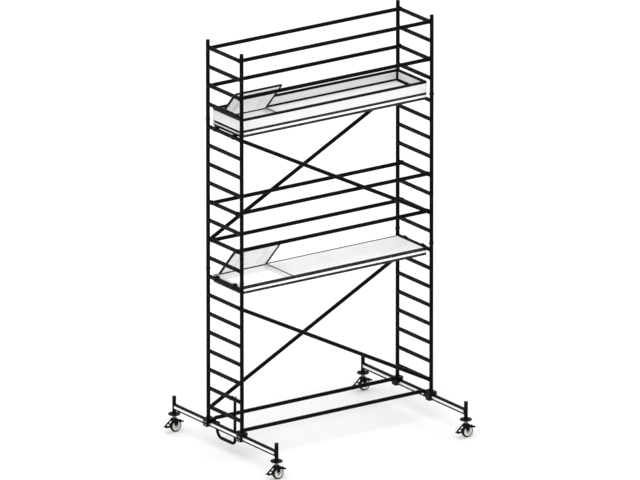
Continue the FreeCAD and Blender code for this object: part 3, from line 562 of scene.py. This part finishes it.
def cast_coat(name, dark, light):
    """Black coat over a sand casting: duller than on tube, with sand grain, 1 mm, drawn at 4 mm."""
    material, tree, shader = start_material(name, IOR=1.5, Specular_IOR_Level=0.14)
    place = add(tree, "TexCoord").outputs["Object"]
    sand = add(tree, "TexNoise", feeds={"Vector": place, "Scale": 1 / (4 * MM), "Detail": 4.0}).outputs[0]
    rubbing = {"Vector": place, "Scale": 1 / (45 * MM), "Detail": 5.0}
    rubbed = add(tree, "TexNoise", feeds=rubbing).outputs[0]
    colour = blend_colours(tree, between(tree, rubbed, 0.45, 0.7), dark, light)
    tree.links.new(colour, shader.inputs["Base Color"])
    tree.links.new(between(tree, rubbed, 0.3, 0.7, 0.5, 0.68), shader.inputs["Roughness"])
    bump = add(tree, "Bump", feeds={"Height": sand, "Strength": 0.5, "Distance": 0.7 * MM})
    tree.links.new(bump.outputs[0], shader.inputs["Normal"])
    return material


def hexagon_bolt(shape, at):
    """A washer with a chamfered hexagon head on it, standing on the matrix's XY plane."""
    sunk = WASHER_HEIGHT - 0.1 * MM
    turned(shape, [(0, 0), (WASHER_RADIUS, 0), (WASHER_RADIUS, WASHER_HEIGHT),
                   (BOLT_RADIUS, WASHER_HEIGHT), (BOLT_RADIUS, sunk), (0, sunk)], at, 24)
    turned(shape, [(0, WASHER_HEIGHT), (BOLT_RADIUS, WASHER_HEIGHT), (BOLT_RADIUS, BOLT_HEIGHT - 1.2 * MM),
                   (BOLT_RADIUS * 0.84, BOLT_HEIGHT), (0, BOLT_HEIGHT)], at, 6)


casting = cast_coat("black_coated_sand_casting", "#040405", "#0E0E0F")
coat_node("beam_saddles", casting)
coat_node("deck_hooks", casting)
bolts = bmesh.new()
low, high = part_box("beam_saddles")
for out in (-1, 1):
    for hand in (-1, 1):
        for shift in (-BOLT_SHIFT, BOLT_SHIFT):
            for up in BOLT_ROWS:
                spot = Vector((out * high.x, hand * post_y + shift, up))
                hexagon_bolt(bolts, pointing(spot, (out, 0, 0)))
finished("saddle_bolts", bolts, "tower", zinc)
lips = bmesh.new()
for out in (-1, 1):
    for hand in (-1, 1):
        for shift in (-1, 1):
            edge = hand * (post_y + shift * (SADDLE_HALF + LIP_THICKNESS / 2))
            box(lips, (out * post_x - LIP_HALF_LENGTH, edge - LIP_THICKNESS, LIP_BOTTOM),
                (out * post_x + LIP_HALF_LENGTH, edge, LIP_TOP))
finished("saddle_lips", lips, "tower", casting, bevel=1.5 * MM)

# Castors: a rolled steel screw with a cast handwheel for levelling, and a pressed fork with a
# rubber-tyred nylon wheel and a foot brake.
THREAD_RADIUS, THREAD_DEPTH, THREAD_PITCH = 20 * MM, 2.4 * MM, 8 * MM
FLANGE_TOP, FLANGE_THICKNESS, FLANGE_RADIUS = 198.3 * MM, 6 * MM, 29 * MM
LOBES, LOBE_RADIUS = 12, 9.6 * MM
TREAD_BLOCKS, TREAD_DEPTH, TYRE_THICKNESS = 36, 1.5 * MM, 20 * MM
SPOKES, HUB_RADIUS = 8, 22 * MM
SEAL_BOTTOM, SEAL_RADIUS, SEAL_HEIGHT = 179 * MM, 34.2 * MM, 12 * MM
# for each end of the pedal, in mm: number of bars, first start, pitch, width, bottom and top
PEDAL_BARS = ((6, -143, 9.2, 4, 87.5, 89.4), (2, 113.5, 8, 3.6, 129.5, 131.2))
CORNERS = [f"{face}_{side}" for face in ("front", "back") for side in ("left", "right")]


def screw(shape, at, low, high, segments=32):
    """A trapezoidal thread of one start between two heights, with flat ends."""
    profile = ((0.0, 0), (0.34, 0), (0.5, 1), (0.84, 1))
    turns = math.ceil((high - low) / THREAD_PITCH) + 2
    rows = []
    for k in range(turns * len(profile)):
        share, deep = profile[k % len(profile)]
        start = low + (k // len(profile) - 1 + share) * THREAD_PITCH
        rows.append([
            shape.verts.new(at @ Vector((
                (THREAD_RADIUS - deep * THREAD_DEPTH) * math.cos(math.tau * s / segments),
                (THREAD_RADIUS - deep * THREAD_DEPTH) * math.sin(math.tau * s / segments),
                min(high, max(low, start + THREAD_PITCH * s / segments)),
            )))
            for s in range(segments)
        ])
    once_round = len(profile)
    for k, row in enumerate(rows[:-once_round - 1]):
        for s in range(segments - 1):
            shape.faces.new((row[s], row[s + 1], rows[k + 1][s + 1], rows[k + 1][s]))
        shape.faces.new((row[-1], rows[k + once_round][0], rows[k + once_round + 1][0], rows[k + 1][-1]))
    bmesh.ops.remove_doubles(shape, verts=shape.verts, dist=0.01 * MM)
    rims = [edge for edge in shape.edges if edge.is_boundary]
    bmesh.ops.holes_fill(shape, edges=rims)


castor_coat = powder_coat("black_electrophoretic_coat_on_castors", "#040405", "#0E0E0F", 0.38)
screw_steel = zinc_plate("zinc_plated_rolled_screw", "#8E9296", 0.34)
tyre_rubber = moulded_rubber("black_elastic_tyre_rubber", "#050505", "#111111", 0.8)
nylon = moulded_plastic("natural_nylon_wheel_centre", "#E3E2DD", "#CFCDC6", 0.42)
for corner in CORNERS:
    low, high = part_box(f"castor_spindle_{corner}")
    axis = Vector(((low.x + high.x) / 2, (low.y + high.y) / 2, 0))
    upright = Matrix.Translation(axis)
    coat_node(f"castor_nut_{corner}", castor_coat)
    coat_node(f"castor_fork_{corner}", castor_coat)
    coat_node(f"brake_pedal_{corner}", castor_coat)
    coat_node(f"castor_wheel_{corner}", nylon)

    spindle = bmesh.new()
    screw(spindle, upright, FLANGE_TOP - 1 * MM, high.z)
    under = FLANGE_TOP - FLANGE_THICKNESS
    turned(spindle, [(0, under), (FLANGE_RADIUS - 3 * MM, under), (FLANGE_RADIUS, under + 1.5 * MM),
                     (FLANGE_RADIUS, FLANGE_TOP - 1.5 * MM), (FLANGE_RADIUS - 2 * MM, FLANGE_TOP),
                     (0, FLANGE_TOP)], upright, 40)
    turned(spindle, [(0, under), (10 * MM, under), (10 * MM, low.z + 4 * MM),
                     (16 * MM, low.z + 4 * MM), (14 * MM, low.z), (0, low.z)], upright, 32)
    finished(f"levelling_screw_{corner}", spindle, f"spindle_{corner}", screw_steel,
             replaces=[f"castor_spindle_{corner}"])

    # finger lobes round the handwheel's rim, and a pressed lock collar on its hub
    low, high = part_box(f"castor_nut_{corner}")
    middle, rim = (low.z + high.z) / 2, (high.x - low.x) / 2 - 9 * MM
    lobes = bmesh.new()
    for k in range(LOBES):
        turn = upright @ Matrix.Rotation(math.tau * (k + 0.5) / LOBES, 4, "Z")
        turn = turn @ Matrix.Translation((rim, 0, middle))
        profile = [(0, -LOBE_RADIUS), (6 * MM, -8.6 * MM), (8.6 * MM, -4.5 * MM), (LOBE_RADIUS, 0),
                   (8.6 * MM, 4.5 * MM), (6 * MM, 8.6 * MM), (0, LOBE_RADIUS)]
        turned(lobes, profile, turn @ Matrix.Scale(0.92, 4, (1, 0, 0)), 14)
    turned(lobes, [(33.5 * MM, low.z + 6 * MM), (34 * MM, low.z + 5 * MM), (34 * MM, low.z + 1 * MM),
                   (31 * MM, low.z + 0.4 * MM), (31 * MM, low.z + 6 * MM)], upright, 36, closed=True)
    finished(f"handwheel_lobes_{corner}", lobes, f"nut_{corner}", castor_coat)

    # the tyre, moulded with slanted tread blocks on a rounded crown and a groove round its middle
    low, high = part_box(f"castor_tyre_{corner}")
    centre, outer = (low + high) / 2, (high.z - low.z) / 2
    half = (high.y - low.y) / 2
    # how far below the crown, and how far out from its middle as a share of the half width
    flank = ((TYRE_THICKNESS, 1), (9 * MM, 1), (3.2 * MM, 0.84), (1.6 * MM, 0.6), (0, 0.36), (0, 0.06),
             (1.8 * MM, 0.04))
    section = [(outer - down, -half * out) for down, out in flank]
    section += [(outer - down, half * out) for down, out in reversed(flank)]
    rolling = Matrix.Translation(centre) @ Matrix.Rotation(-math.pi / 2, 4, "X")
    tyre = bmesh.new()
    rings, segments = [], TREAD_BLOCKS * 3
    for k in range(segments):
        a = math.tau * k / segments
        ring = []
        for n, (radius, across) in enumerate(section):
            skew = 0.5 * abs(across) / half * math.tau / TREAD_BLOCKS
            grooved = 2 < n < len(section) - 3 and k % 3 == 0
            reach = radius - (TREAD_DEPTH if grooved else 0)
            spot = Vector((reach * math.cos(a + skew), reach * math.sin(a + skew), across))
            ring.append(tyre.verts.new(rolling @ spot))
        rings.append(ring)
    for k in range(segments):
        here, there = rings[k], rings[(k + 1) % segments]
        for n in range(len(section)):
            m = (n + 1) % len(section)
            tyre.faces.new((here[n], here[m], there[m], there[n]))
    finished(f"treaded_tyre_{corner}", tyre, f"wheel_{corner}", tyre_rubber,
             replaces=[f"castor_tyre_{corner}"])

    # moulded spokes that stiffen the nylon wheel's web, and the bearing cover on its hub
    spokes = bmesh.new()
    for hand in (-1, 1):
        for k in range(SPOKES):
            turn = rolling @ Matrix.Rotation(math.tau * k / SPOKES, 4, "Z")
            near, far = sorted((0, hand * 17 * MM))
            box(spokes, (HUB_RADIUS, -2 * MM, near), (55 * MM, 2 * MM, far), turn)
        cover = rolling @ Matrix.Rotation(0 if hand > 0 else math.pi, 4, "X")
        turned(spokes, [(11 * MM, 26 * MM), (12 * MM, 26.4 * MM), (20 * MM, 26.4 * MM),
                        (HUB_RADIUS, 25 * MM), (HUB_RADIUS, 22 * MM), (11 * MM, 22 * MM)],
               cover, 28, closed=True)
    finished(f"wheel_spokes_{corner}", spokes, f"wheel_{corner}", nylon, bevel=0.8 * MM)

    # hexagon nuts on the axle, a rolled rim on the fork's swivel head and its dust seal
    low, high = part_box(f"castor_fork_{corner}")
    fixings = bmesh.new()
    for hand in (-1, 1):
        face = high.y if hand > 0 else low.y
        at = pointing(Vector((centre.x, face - hand * 6 * MM, centre.z)), (0, hand, 0))
        turned(fixings, [(0, 0), (17 * MM, 0), (17 * MM, 5.2 * MM), (15.6 * MM, 6.6 * MM),
                         (0, 6.6 * MM)], at, 6)
        turned(fixings, [(0, 6 * MM), (9 * MM, 6 * MM), (9 * MM, 7.4 * MM), (7.6 * MM, 8.6 * MM),
                         (0, 8.6 * MM)], at, 24)
    finished(f"axle_nuts_{corner}", fixings, f"fork_{corner}", zinc)
    seal = bmesh.new()
    turned(seal, [(30 * MM, SEAL_BOTTOM), (33.5 * MM, SEAL_BOTTOM), (SEAL_RADIUS, SEAL_BOTTOM + 3 * MM),
                  (SEAL_RADIUS, SEAL_BOTTOM + 9 * MM), (33.2 * MM, SEAL_BOTTOM + SEAL_HEIGHT),
                  (30 * MM, SEAL_BOTTOM + SEAL_HEIGHT)], upright, 40, closed=True)
    finished(f"swivel_seal_{corner}", seal, f"fork_{corner}", castor_coat)

    # raised treads on the pedal's plates, so that a boot doesn't slip
    low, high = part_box(f"brake_pedal_{corner}")
    treads = bmesh.new()
    for bars, first, pitch, width, bottom, top in PEDAL_BARS:
        for k in range(bars):
            start = axis.x + (first + k * pitch) * MM
            box(treads, (start, low.y + 2 * MM, bottom * MM),
                (start + width * MM, high.y - 2 * MM, top * MM))
    finished(f"pedal_treads_{corner}", treads, f"pedal_{corner}", castor_coat,
             bevel=0.6 * MM)

# Decks: extruded aluminium side rails and bearers, pale coated, with black grip strips pressed into
# the rails' edges, and a panel of film-faced birch plywood riveted down on them.
STRIP_WIDTH, STRIP_PROUD, STRIP_GROOVE = 32 * MM, 1.4 * MM, 0.04
RIVET_RADIUS, RIVET_HEIGHT, RIVET_PITCH, RIVET_LINE = 5.5 * MM, 1.6 * MM, 260 * MM, 272 * MM
BEARER_RIVETS, LAST_BEARER = (-180 * MM, -90 * MM, 0, 90 * MM, 180 * MM), 1380 * MM
PANEL_SEAL, SEAL_PROUD, SEAL_REACH = 24 * MM, 1.1 * MM, 288 * MM


def film_faced_ply(name, pale, shadow, roughness=0.55):
    """Birch ply under a pressed resin film: pale, hard, slightly glossy, with a wire-mesh grip face.

    The mesh is 6 mm across and is drawn at 14 mm, with painted shade darkening its grooves; boots leave
    faint greyer tracks.
    """
    material, tree, shader = start_material(name, IOR=1.5, Specular_IOR_Level=0.3)
    place = add(tree, "TexCoord").outputs["Object"]
    mesh_cells = add(tree, "TexVoronoi", feature="DISTANCE_TO_EDGE", feeds={
        "Vector": place, "Scale": 1 / (14 * MM), "Randomness": 0.12}).outputs[0]
    trodden = {"Vector": place, "Scale": 1 / (260 * MM), "Detail": 6.0}
    tracks = add(tree, "TexNoise", feeds=trodden).outputs[0]
    ridge = between(tree, mesh_cells, 0.03, 0.12)
    worn = blend_colours(tree, between(tree, tracks, 0.45, 0.75), pale, shadow)
    # painted shade: a darker grey laid into the mesh's grooves stands for the shade that falls in them
    painted_groove_shade = between(tree, ridge, 0, 1, 0.16, 0.0)
    tree.links.new(blend_colours(tree, painted_groove_shade, worn, "#CFCFCD"), shader.inputs["Base Color"])
    dull = between(tree, tracks, 0.3, 0.7, roughness - 0.1, roughness + 0.1)
    tree.links.new(dull, shader.inputs["Roughness"])
    bump = add(tree, "Bump", feeds={"Height": ridge, "Strength": 0.35, "Distance": 0.5 * MM})
    tree.links.new(bump.outputs[0], shader.inputs["Normal"])
    return material


def strip_between(shape, low, high):
    """A flat strip with a shallow groove down its middle, between two corners of a thin block."""
    sizes = [high[k] - low[k] for k in range(3)]
    thin = sizes.index(min(sizes))
    narrow = min((k for k in range(3) if k != thin), key=lambda k: sizes[k])
    for share_low, share_high in ((0.0, 0.5 - STRIP_GROOVE / 2), (0.5 + STRIP_GROOVE / 2, 1.0)):
        first, last = list(low), list(high)
        first[narrow] = low[narrow] + sizes[narrow] * share_low
        last[narrow] = low[narrow] + sizes[narrow] * share_high
        box(shape, first, last)


deck_coat = mill_aluminium("white_coated_deck_rails", "#F6F6F6", "#EDEDEE", 0.5)
deck_ply = film_faced_ply("pale_film_faced_birch_ply", "#FBFBFA", "#F4F4F3")
edge_rubber = moulded_rubber("black_rubber_edge_strips", "#030303", "#0A0A0A", 0.7)
HATCH_LEFT, HATCH_RIGHT = -1390 * MM, -640 * MM
DECK_BOXES = {}
for level in ("lower", "upper"):
    coat_node(f"deck_frame_{level}", deck_coat)
    coat_node(f"deck_panel_{level}", deck_ply)
    low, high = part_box(f"deck_frame_{level}")
    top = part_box(f"deck_panel_{level}")[1].z
    DECK_BOXES[level] = (low, Vector((high.x, high.y, top)))
    strips, rivets = bmesh.new(), bmesh.new()
    for hand in (-1, 1):
        face = hand * high.y
        near, far = sorted((face, face + hand * STRIP_PROUD))
        for bottom in (low.z + 1 * MM, top - STRIP_WIDTH):
            strip_between(strips, (low.x, near, bottom), (high.x, far, bottom + STRIP_WIDTH))
        if level == "lower":
            inner, outer = sorted((hand * (high.y - 29 * MM), hand * (high.y - 1 * MM)))
            strip_between(strips, (low.x, inner, top), (high.x, outer, top + STRIP_PROUD))
        end = low.x if hand < 0 else high.x
        near, far = sorted((end, end + hand * STRIP_PROUD))
        for bottom in (low.z + 1 * MM, top - 12 * MM - STRIP_WIDTH):
            strip_between(strips, (near, -SEAL_REACH, bottom), (far, SEAL_REACH, bottom + STRIP_WIDTH))
    # sealing strips where the panel ends at the hatch and at the far end
    for x in (HATCH_RIGHT + 2 * MM, high.x - 1 * MM - PANEL_SEAL - (18 * MM if level == "upper" else 0)):
        strip_between(strips, (x, -SEAL_REACH, top), (x + PANEL_SEAL, SEAL_REACH, top + SEAL_PROUD))
    count = int((high.x - HATCH_RIGHT) / RIVET_PITCH)
    for k in range(count + 1):
        x = HATCH_RIGHT + 45 * MM + k * (high.x - HATCH_RIGHT - 110 * MM) / count
        for y in (-RIVET_LINE, RIVET_LINE):
            spot = pointing(Vector((x, y, top)), (0, 0, 1))
            domed_head(rivets, spot, RIVET_RADIUS, RIVET_HEIGHT, 12)
    for n in range(1, 4):
        x = HATCH_RIGHT + n * (LAST_BEARER - HATCH_RIGHT) / 4
        for y in BEARER_RIVETS:
            spot = pointing(Vector((x, y, top)), (0, 0, 1))
            domed_head(rivets, spot, RIVET_RADIUS, RIVET_HEIGHT, 12)
    finished(f"deck_grip_strips_{level}", strips, "tower", edge_rubber, smooth=False)
    finished(f"deck_rivets_{level}", rivets, "tower", zinc)

# Hooks of the decks: cast claws bolted to the end beams, each with a sprung wind latch below that
# stops a gust from lifting the deck off its rung.
HOOK_RUNGS, HOOK_OFFSET = (2305.6 * MM, 4305.6 * MM), 200 * MM
HOOK_BOLT = Vector((33 * MM, 13 * MM, 45 * MM))
hook_bolts, wind_latches = bmesh.new(), bmesh.new()
for rung in HOOK_RUNGS:
    for out in (-1, 1):
        for y in (-HOOK_OFFSET, HOOK_OFFSET):
            turn = Matrix.Rotation(math.pi if out > 0 else 0, 4, "Z")
            at = Matrix.Translation((out * post_x, y, rung)) @ turn
            latch(wind_latches, at)
            for hand in (-1, 1):
                spot = at @ pointing(Vector((HOOK_BOLT.x, hand * HOOK_BOLT.y, HOOK_BOLT.z)), (0, 0, 1))
                hexagon_bolt(hook_bolts, spot @ Matrix.Scale(0.62, 4))
finished("deck_hook_bolts", hook_bolts, "tower", zinc)
finished("deck_wind_latches", wind_latches, "tower", black_zinc, bevel=0.8 * MM)

# Hatch lids: the same ply with all four edges sealed in a black moulded channel, hung on three
# steel hinges with screws; each has a ring pull in a dished plate, and two battens underneath.
LID_LENGTH, LID_DEPTH, LID_GAP, LID_CORNER = 750 * MM, 576 * MM, 2 * MM, 40 * MM
HINGE_RISE, HINGE_SHARES, HINGE_SCREWS = 5 * MM, (0.12, 0.5, 0.88), (-20 * MM, -11 * MM)
LID_TOP, LID_THICKNESS = -HINGE_RISE, 11.7 * MM
CHANNEL_WIDTH, CHANNEL_WALL, CHANNEL_LIP = 38 * MM, 1.5 * MM, 0.2 * MM
PULL_FROM_EDGE, PULL_SCREW = 60 * MM, 34.5 * MM
BATTENS, BATTEN_HALF, BATTEN_DEPTH = (190 * MM, 560 * MM), 20 * MM, 14 * MM
LID_ANGLE = math.radians(48)
hinge_metal = zinc_plate("bright_zinc_plated_hinges", "#B4B7BA", 0.26)
coat_node("hatch_hinges", hinge_metal)
for level in ("lower", "upper"):
    coat_node(f"hatch_lid_{level}", deck_ply)
    coat_node(f"hatch_fittings_{level}", hinge_metal)
    top = DECK_BOXES[level][1].z
    hinge = Matrix.Translation((HATCH_LEFT, 290 * MM, top + HINGE_RISE))
    hinge = hinge @ Matrix.Rotation(-LID_ANGLE, 4, "X")
    low_x, high_x = LID_GAP, LID_LENGTH - LID_GAP
    low_y, high_y = -LID_DEPTH - LID_GAP, -LID_GAP
    loop = []
    corners = ((high_x, high_y, 0), (low_x, high_y, 90), (low_x, low_y, 180), (high_x, low_y, 270))
    for cx, cy, start in corners:
        middle = Vector((cx - math.copysign(LID_CORNER, cx - LID_LENGTH / 2),
                         cy - math.copysign(LID_CORNER, cy + LID_DEPTH / 2)))
        loop += [(middle, math.radians(start + 90 * k / 6)) for k in range(7)]
    channel = bmesh.new()
    # its lower flange is let into the board, so that the lid can lie flat on its ledges
    underside = LID_TOP - LID_THICKNESS - CHANNEL_LIP
    section = [(CHANNEL_WALL, LID_TOP + CHANNEL_WALL * 0.4), (CHANNEL_WALL, underside + CHANNEL_WALL),
               (0, underside), (-CHANNEL_WIDTH, underside), (-CHANNEL_WIDTH, LID_TOP + CHANNEL_WALL),
               (0, LID_TOP + CHANNEL_WALL)]
    rings = []
    for middle, a in loop:
        outward = Vector((math.cos(a), math.sin(a)))
        rings.append([
            channel.verts.new(hinge @ Vector((*(middle + outward * (LID_CORNER + reach)), height)))
            for reach, height in section
        ])
    for k in range(len(rings)):
        here, there = rings[k], rings[(k + 1) % len(rings)]
        for n in range(len(section)):
            m = (n + 1) % len(section)
            channel.faces.new((here[n], here[m], there[m], there[n]))
    finished(f"lid_edge_channel_{level}", channel, f"lid_{level}", edge_rubber)

    screws, pull = bmesh.new(), bmesh.new()
    for share in HINGE_SHARES:
        for across in HINGE_SCREWS:
            spot = (LID_LENGTH * share + 8 * MM, across, LID_TOP + 2 * MM)
            domed_head(screws, hinge @ Matrix.Translation(spot), 3.6 * MM, 1.4 * MM, 12)
    finished(f"hinge_screws_{level}", screws, f"lid_{level}", hinge_metal)
    # the dished plate round the ring pull, and two stiffening battens under the lid
    plate = hinge @ Matrix.Translation((LID_LENGTH / 2, -LID_DEPTH + PULL_FROM_EDGE, LID_TOP))
    turned(pull, [(22 * MM, 0.2 * MM), (38 * MM, 0.2 * MM), (39 * MM, 1.0 * MM), (38 * MM, 2.0 * MM),
                  (31 * MM, 2.2 * MM), (22 * MM, 0.8 * MM)], plate, 40, closed=True)
    for y in (PULL_SCREW, -PULL_SCREW):
        domed_head(pull, plate @ Matrix.Translation((0, y, 2 * MM)), 2.4 * MM, 1 * MM, 10)
    finished(f"ring_pull_plate_{level}", pull, f"lid_{level}", hinge_metal)
    battens = bmesh.new()
    for x in BATTENS:
        box(battens, (x - BATTEN_HALF, -LID_DEPTH + 60 * MM, LID_TOP - LID_THICKNESS - BATTEN_DEPTH),
            (x + BATTEN_HALF, -60 * MM, LID_TOP - LID_THICKNESS), hinge)
    finished(f"lid_battens_{level}", battens, f"lid_{level}", deck_coat, bevel=2 * MM)

# Toe boards: pale coated plywood standing on the upper deck's edge, capped along the top by a black
# channel, with a black foot strip, folded bright plates round the corners and black angles inside.
CAP_WIDTH, CAP_PROUD = 30 * MM, 1.5 * MM
FOOT_HEIGHT, ANGLE_LEG, ANGLE_WALL = 28 * MM, 22 * MM, 2 * MM
PLATE_LEG, PLATE_WALL, PLATE_BOTTOM = 55 * MM, 2 * MM, 20 * MM
PLATE_SCREWS, SCREW_INSET = (45 * MM, 95 * MM), 34 * MM
board_paint = film_faced_ply("light_grey_coated_toe_board_ply", "#E4E4E4", "#DDDDDC", 0.6)
coat_node("toe_boards_long", board_paint)
coat_node("toe_boards_end", board_paint)
low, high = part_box("toe_boards_long")
inside = 18 * MM
caps, plates, angles, screws = bmesh.new(), bmesh.new(), bmesh.new(), bmesh.new()
for hand in (-1, 1):
    outer = hand * high.y
    near, far = sorted((outer + hand * CAP_PROUD, outer - hand * (inside + CAP_PROUD)))
    box(caps, (low.x - CAP_PROUD, near, high.z - CAP_WIDTH), (high.x + CAP_PROUD, far, high.z + CAP_PROUD))
    near, far = sorted((outer - hand * inside, outer - hand * (inside + CAP_PROUD)))
    box(caps, (low.x + inside, near, low.z), (high.x - inside, far, low.z + FOOT_HEIGHT))
    end = hand * high.x
    near, far = sorted((end + hand * CAP_PROUD, end - hand * (inside + CAP_PROUD)))
    box(caps, (near, -high.y + inside + CAP_PROUD, high.z - CAP_WIDTH),
        (far, high.y - inside - CAP_PROUD, high.z + CAP_PROUD))
    near, far = sorted((end - hand * inside, end - hand * (inside + CAP_PROUD)))
    box(caps, (near, -high.y + inside + CAP_PROUD, low.z),
        (far, high.y - inside - CAP_PROUD, low.z + FOOT_HEIGHT))
    for side in (-1, 1):
        corner_x, corner_y = side * high.x, hand * high.y
        bottom, top = low.z + PLATE_BOTTOM, high.z - CAP_WIDTH - 1 * MM
        near_x, far_x = sorted((corner_x, corner_x - side * PLATE_LEG))
        near_y, far_y = sorted((corner_y, corner_y + hand * PLATE_WALL))
        box(plates, (near_x, near_y, bottom), (far_x, far_y, top))
        near_y, far_y = sorted((corner_y + hand * PLATE_WALL, corner_y - hand * PLATE_LEG))
        near_x, far_x = sorted((corner_x, corner_x + side * PLATE_WALL))
        box(plates, (near_x, near_y, bottom), (far_x, far_y, top))
        leg = inside + ANGLE_LEG
        near_x, far_x = sorted((corner_x - side * inside, corner_x - side * leg))
        near_y, far_y = sorted((corner_y - hand * inside, corner_y - hand * (inside + ANGLE_WALL)))
        box(angles, (near_x, near_y, low.z + FOOT_HEIGHT), (far_x, far_y, high.z - CAP_WIDTH))
        near_x, far_x = sorted((corner_x - side * inside, corner_x - side * (inside + ANGLE_WALL)))
        near_y, far_y = sorted((corner_y - hand * (inside + ANGLE_WALL), corner_y - hand * leg))
        box(angles, (near_x, near_y, low.z + FOOT_HEIGHT), (far_x, far_y, high.z - CAP_WIDTH))
        for up in PLATE_SCREWS:
            spot = Vector((corner_x - side * SCREW_INSET, corner_y + hand * PLATE_WALL, low.z + up))
            domed_head(screws, pointing(spot, (0, hand, 0)), 4.5 * MM, 2 * MM, 12)
            spot = Vector((corner_x + side * PLATE_WALL, corner_y - hand * SCREW_INSET, low.z + up))
            domed_head(screws, pointing(spot, (side, 0, 0)), 4.5 * MM, 2 * MM, 12)
finished("toe_board_caps", caps, "tower", edge_rubber, bevel=0.7 * MM)
finished("toe_board_corner_plates", plates, "tower", deck_coat, bevel=0.6 * MM)
finished("toe_board_angles", angles, "tower", black_zinc, bevel=0.6 * MM)
finished("toe_board_screws", screws, "tower", zinc)
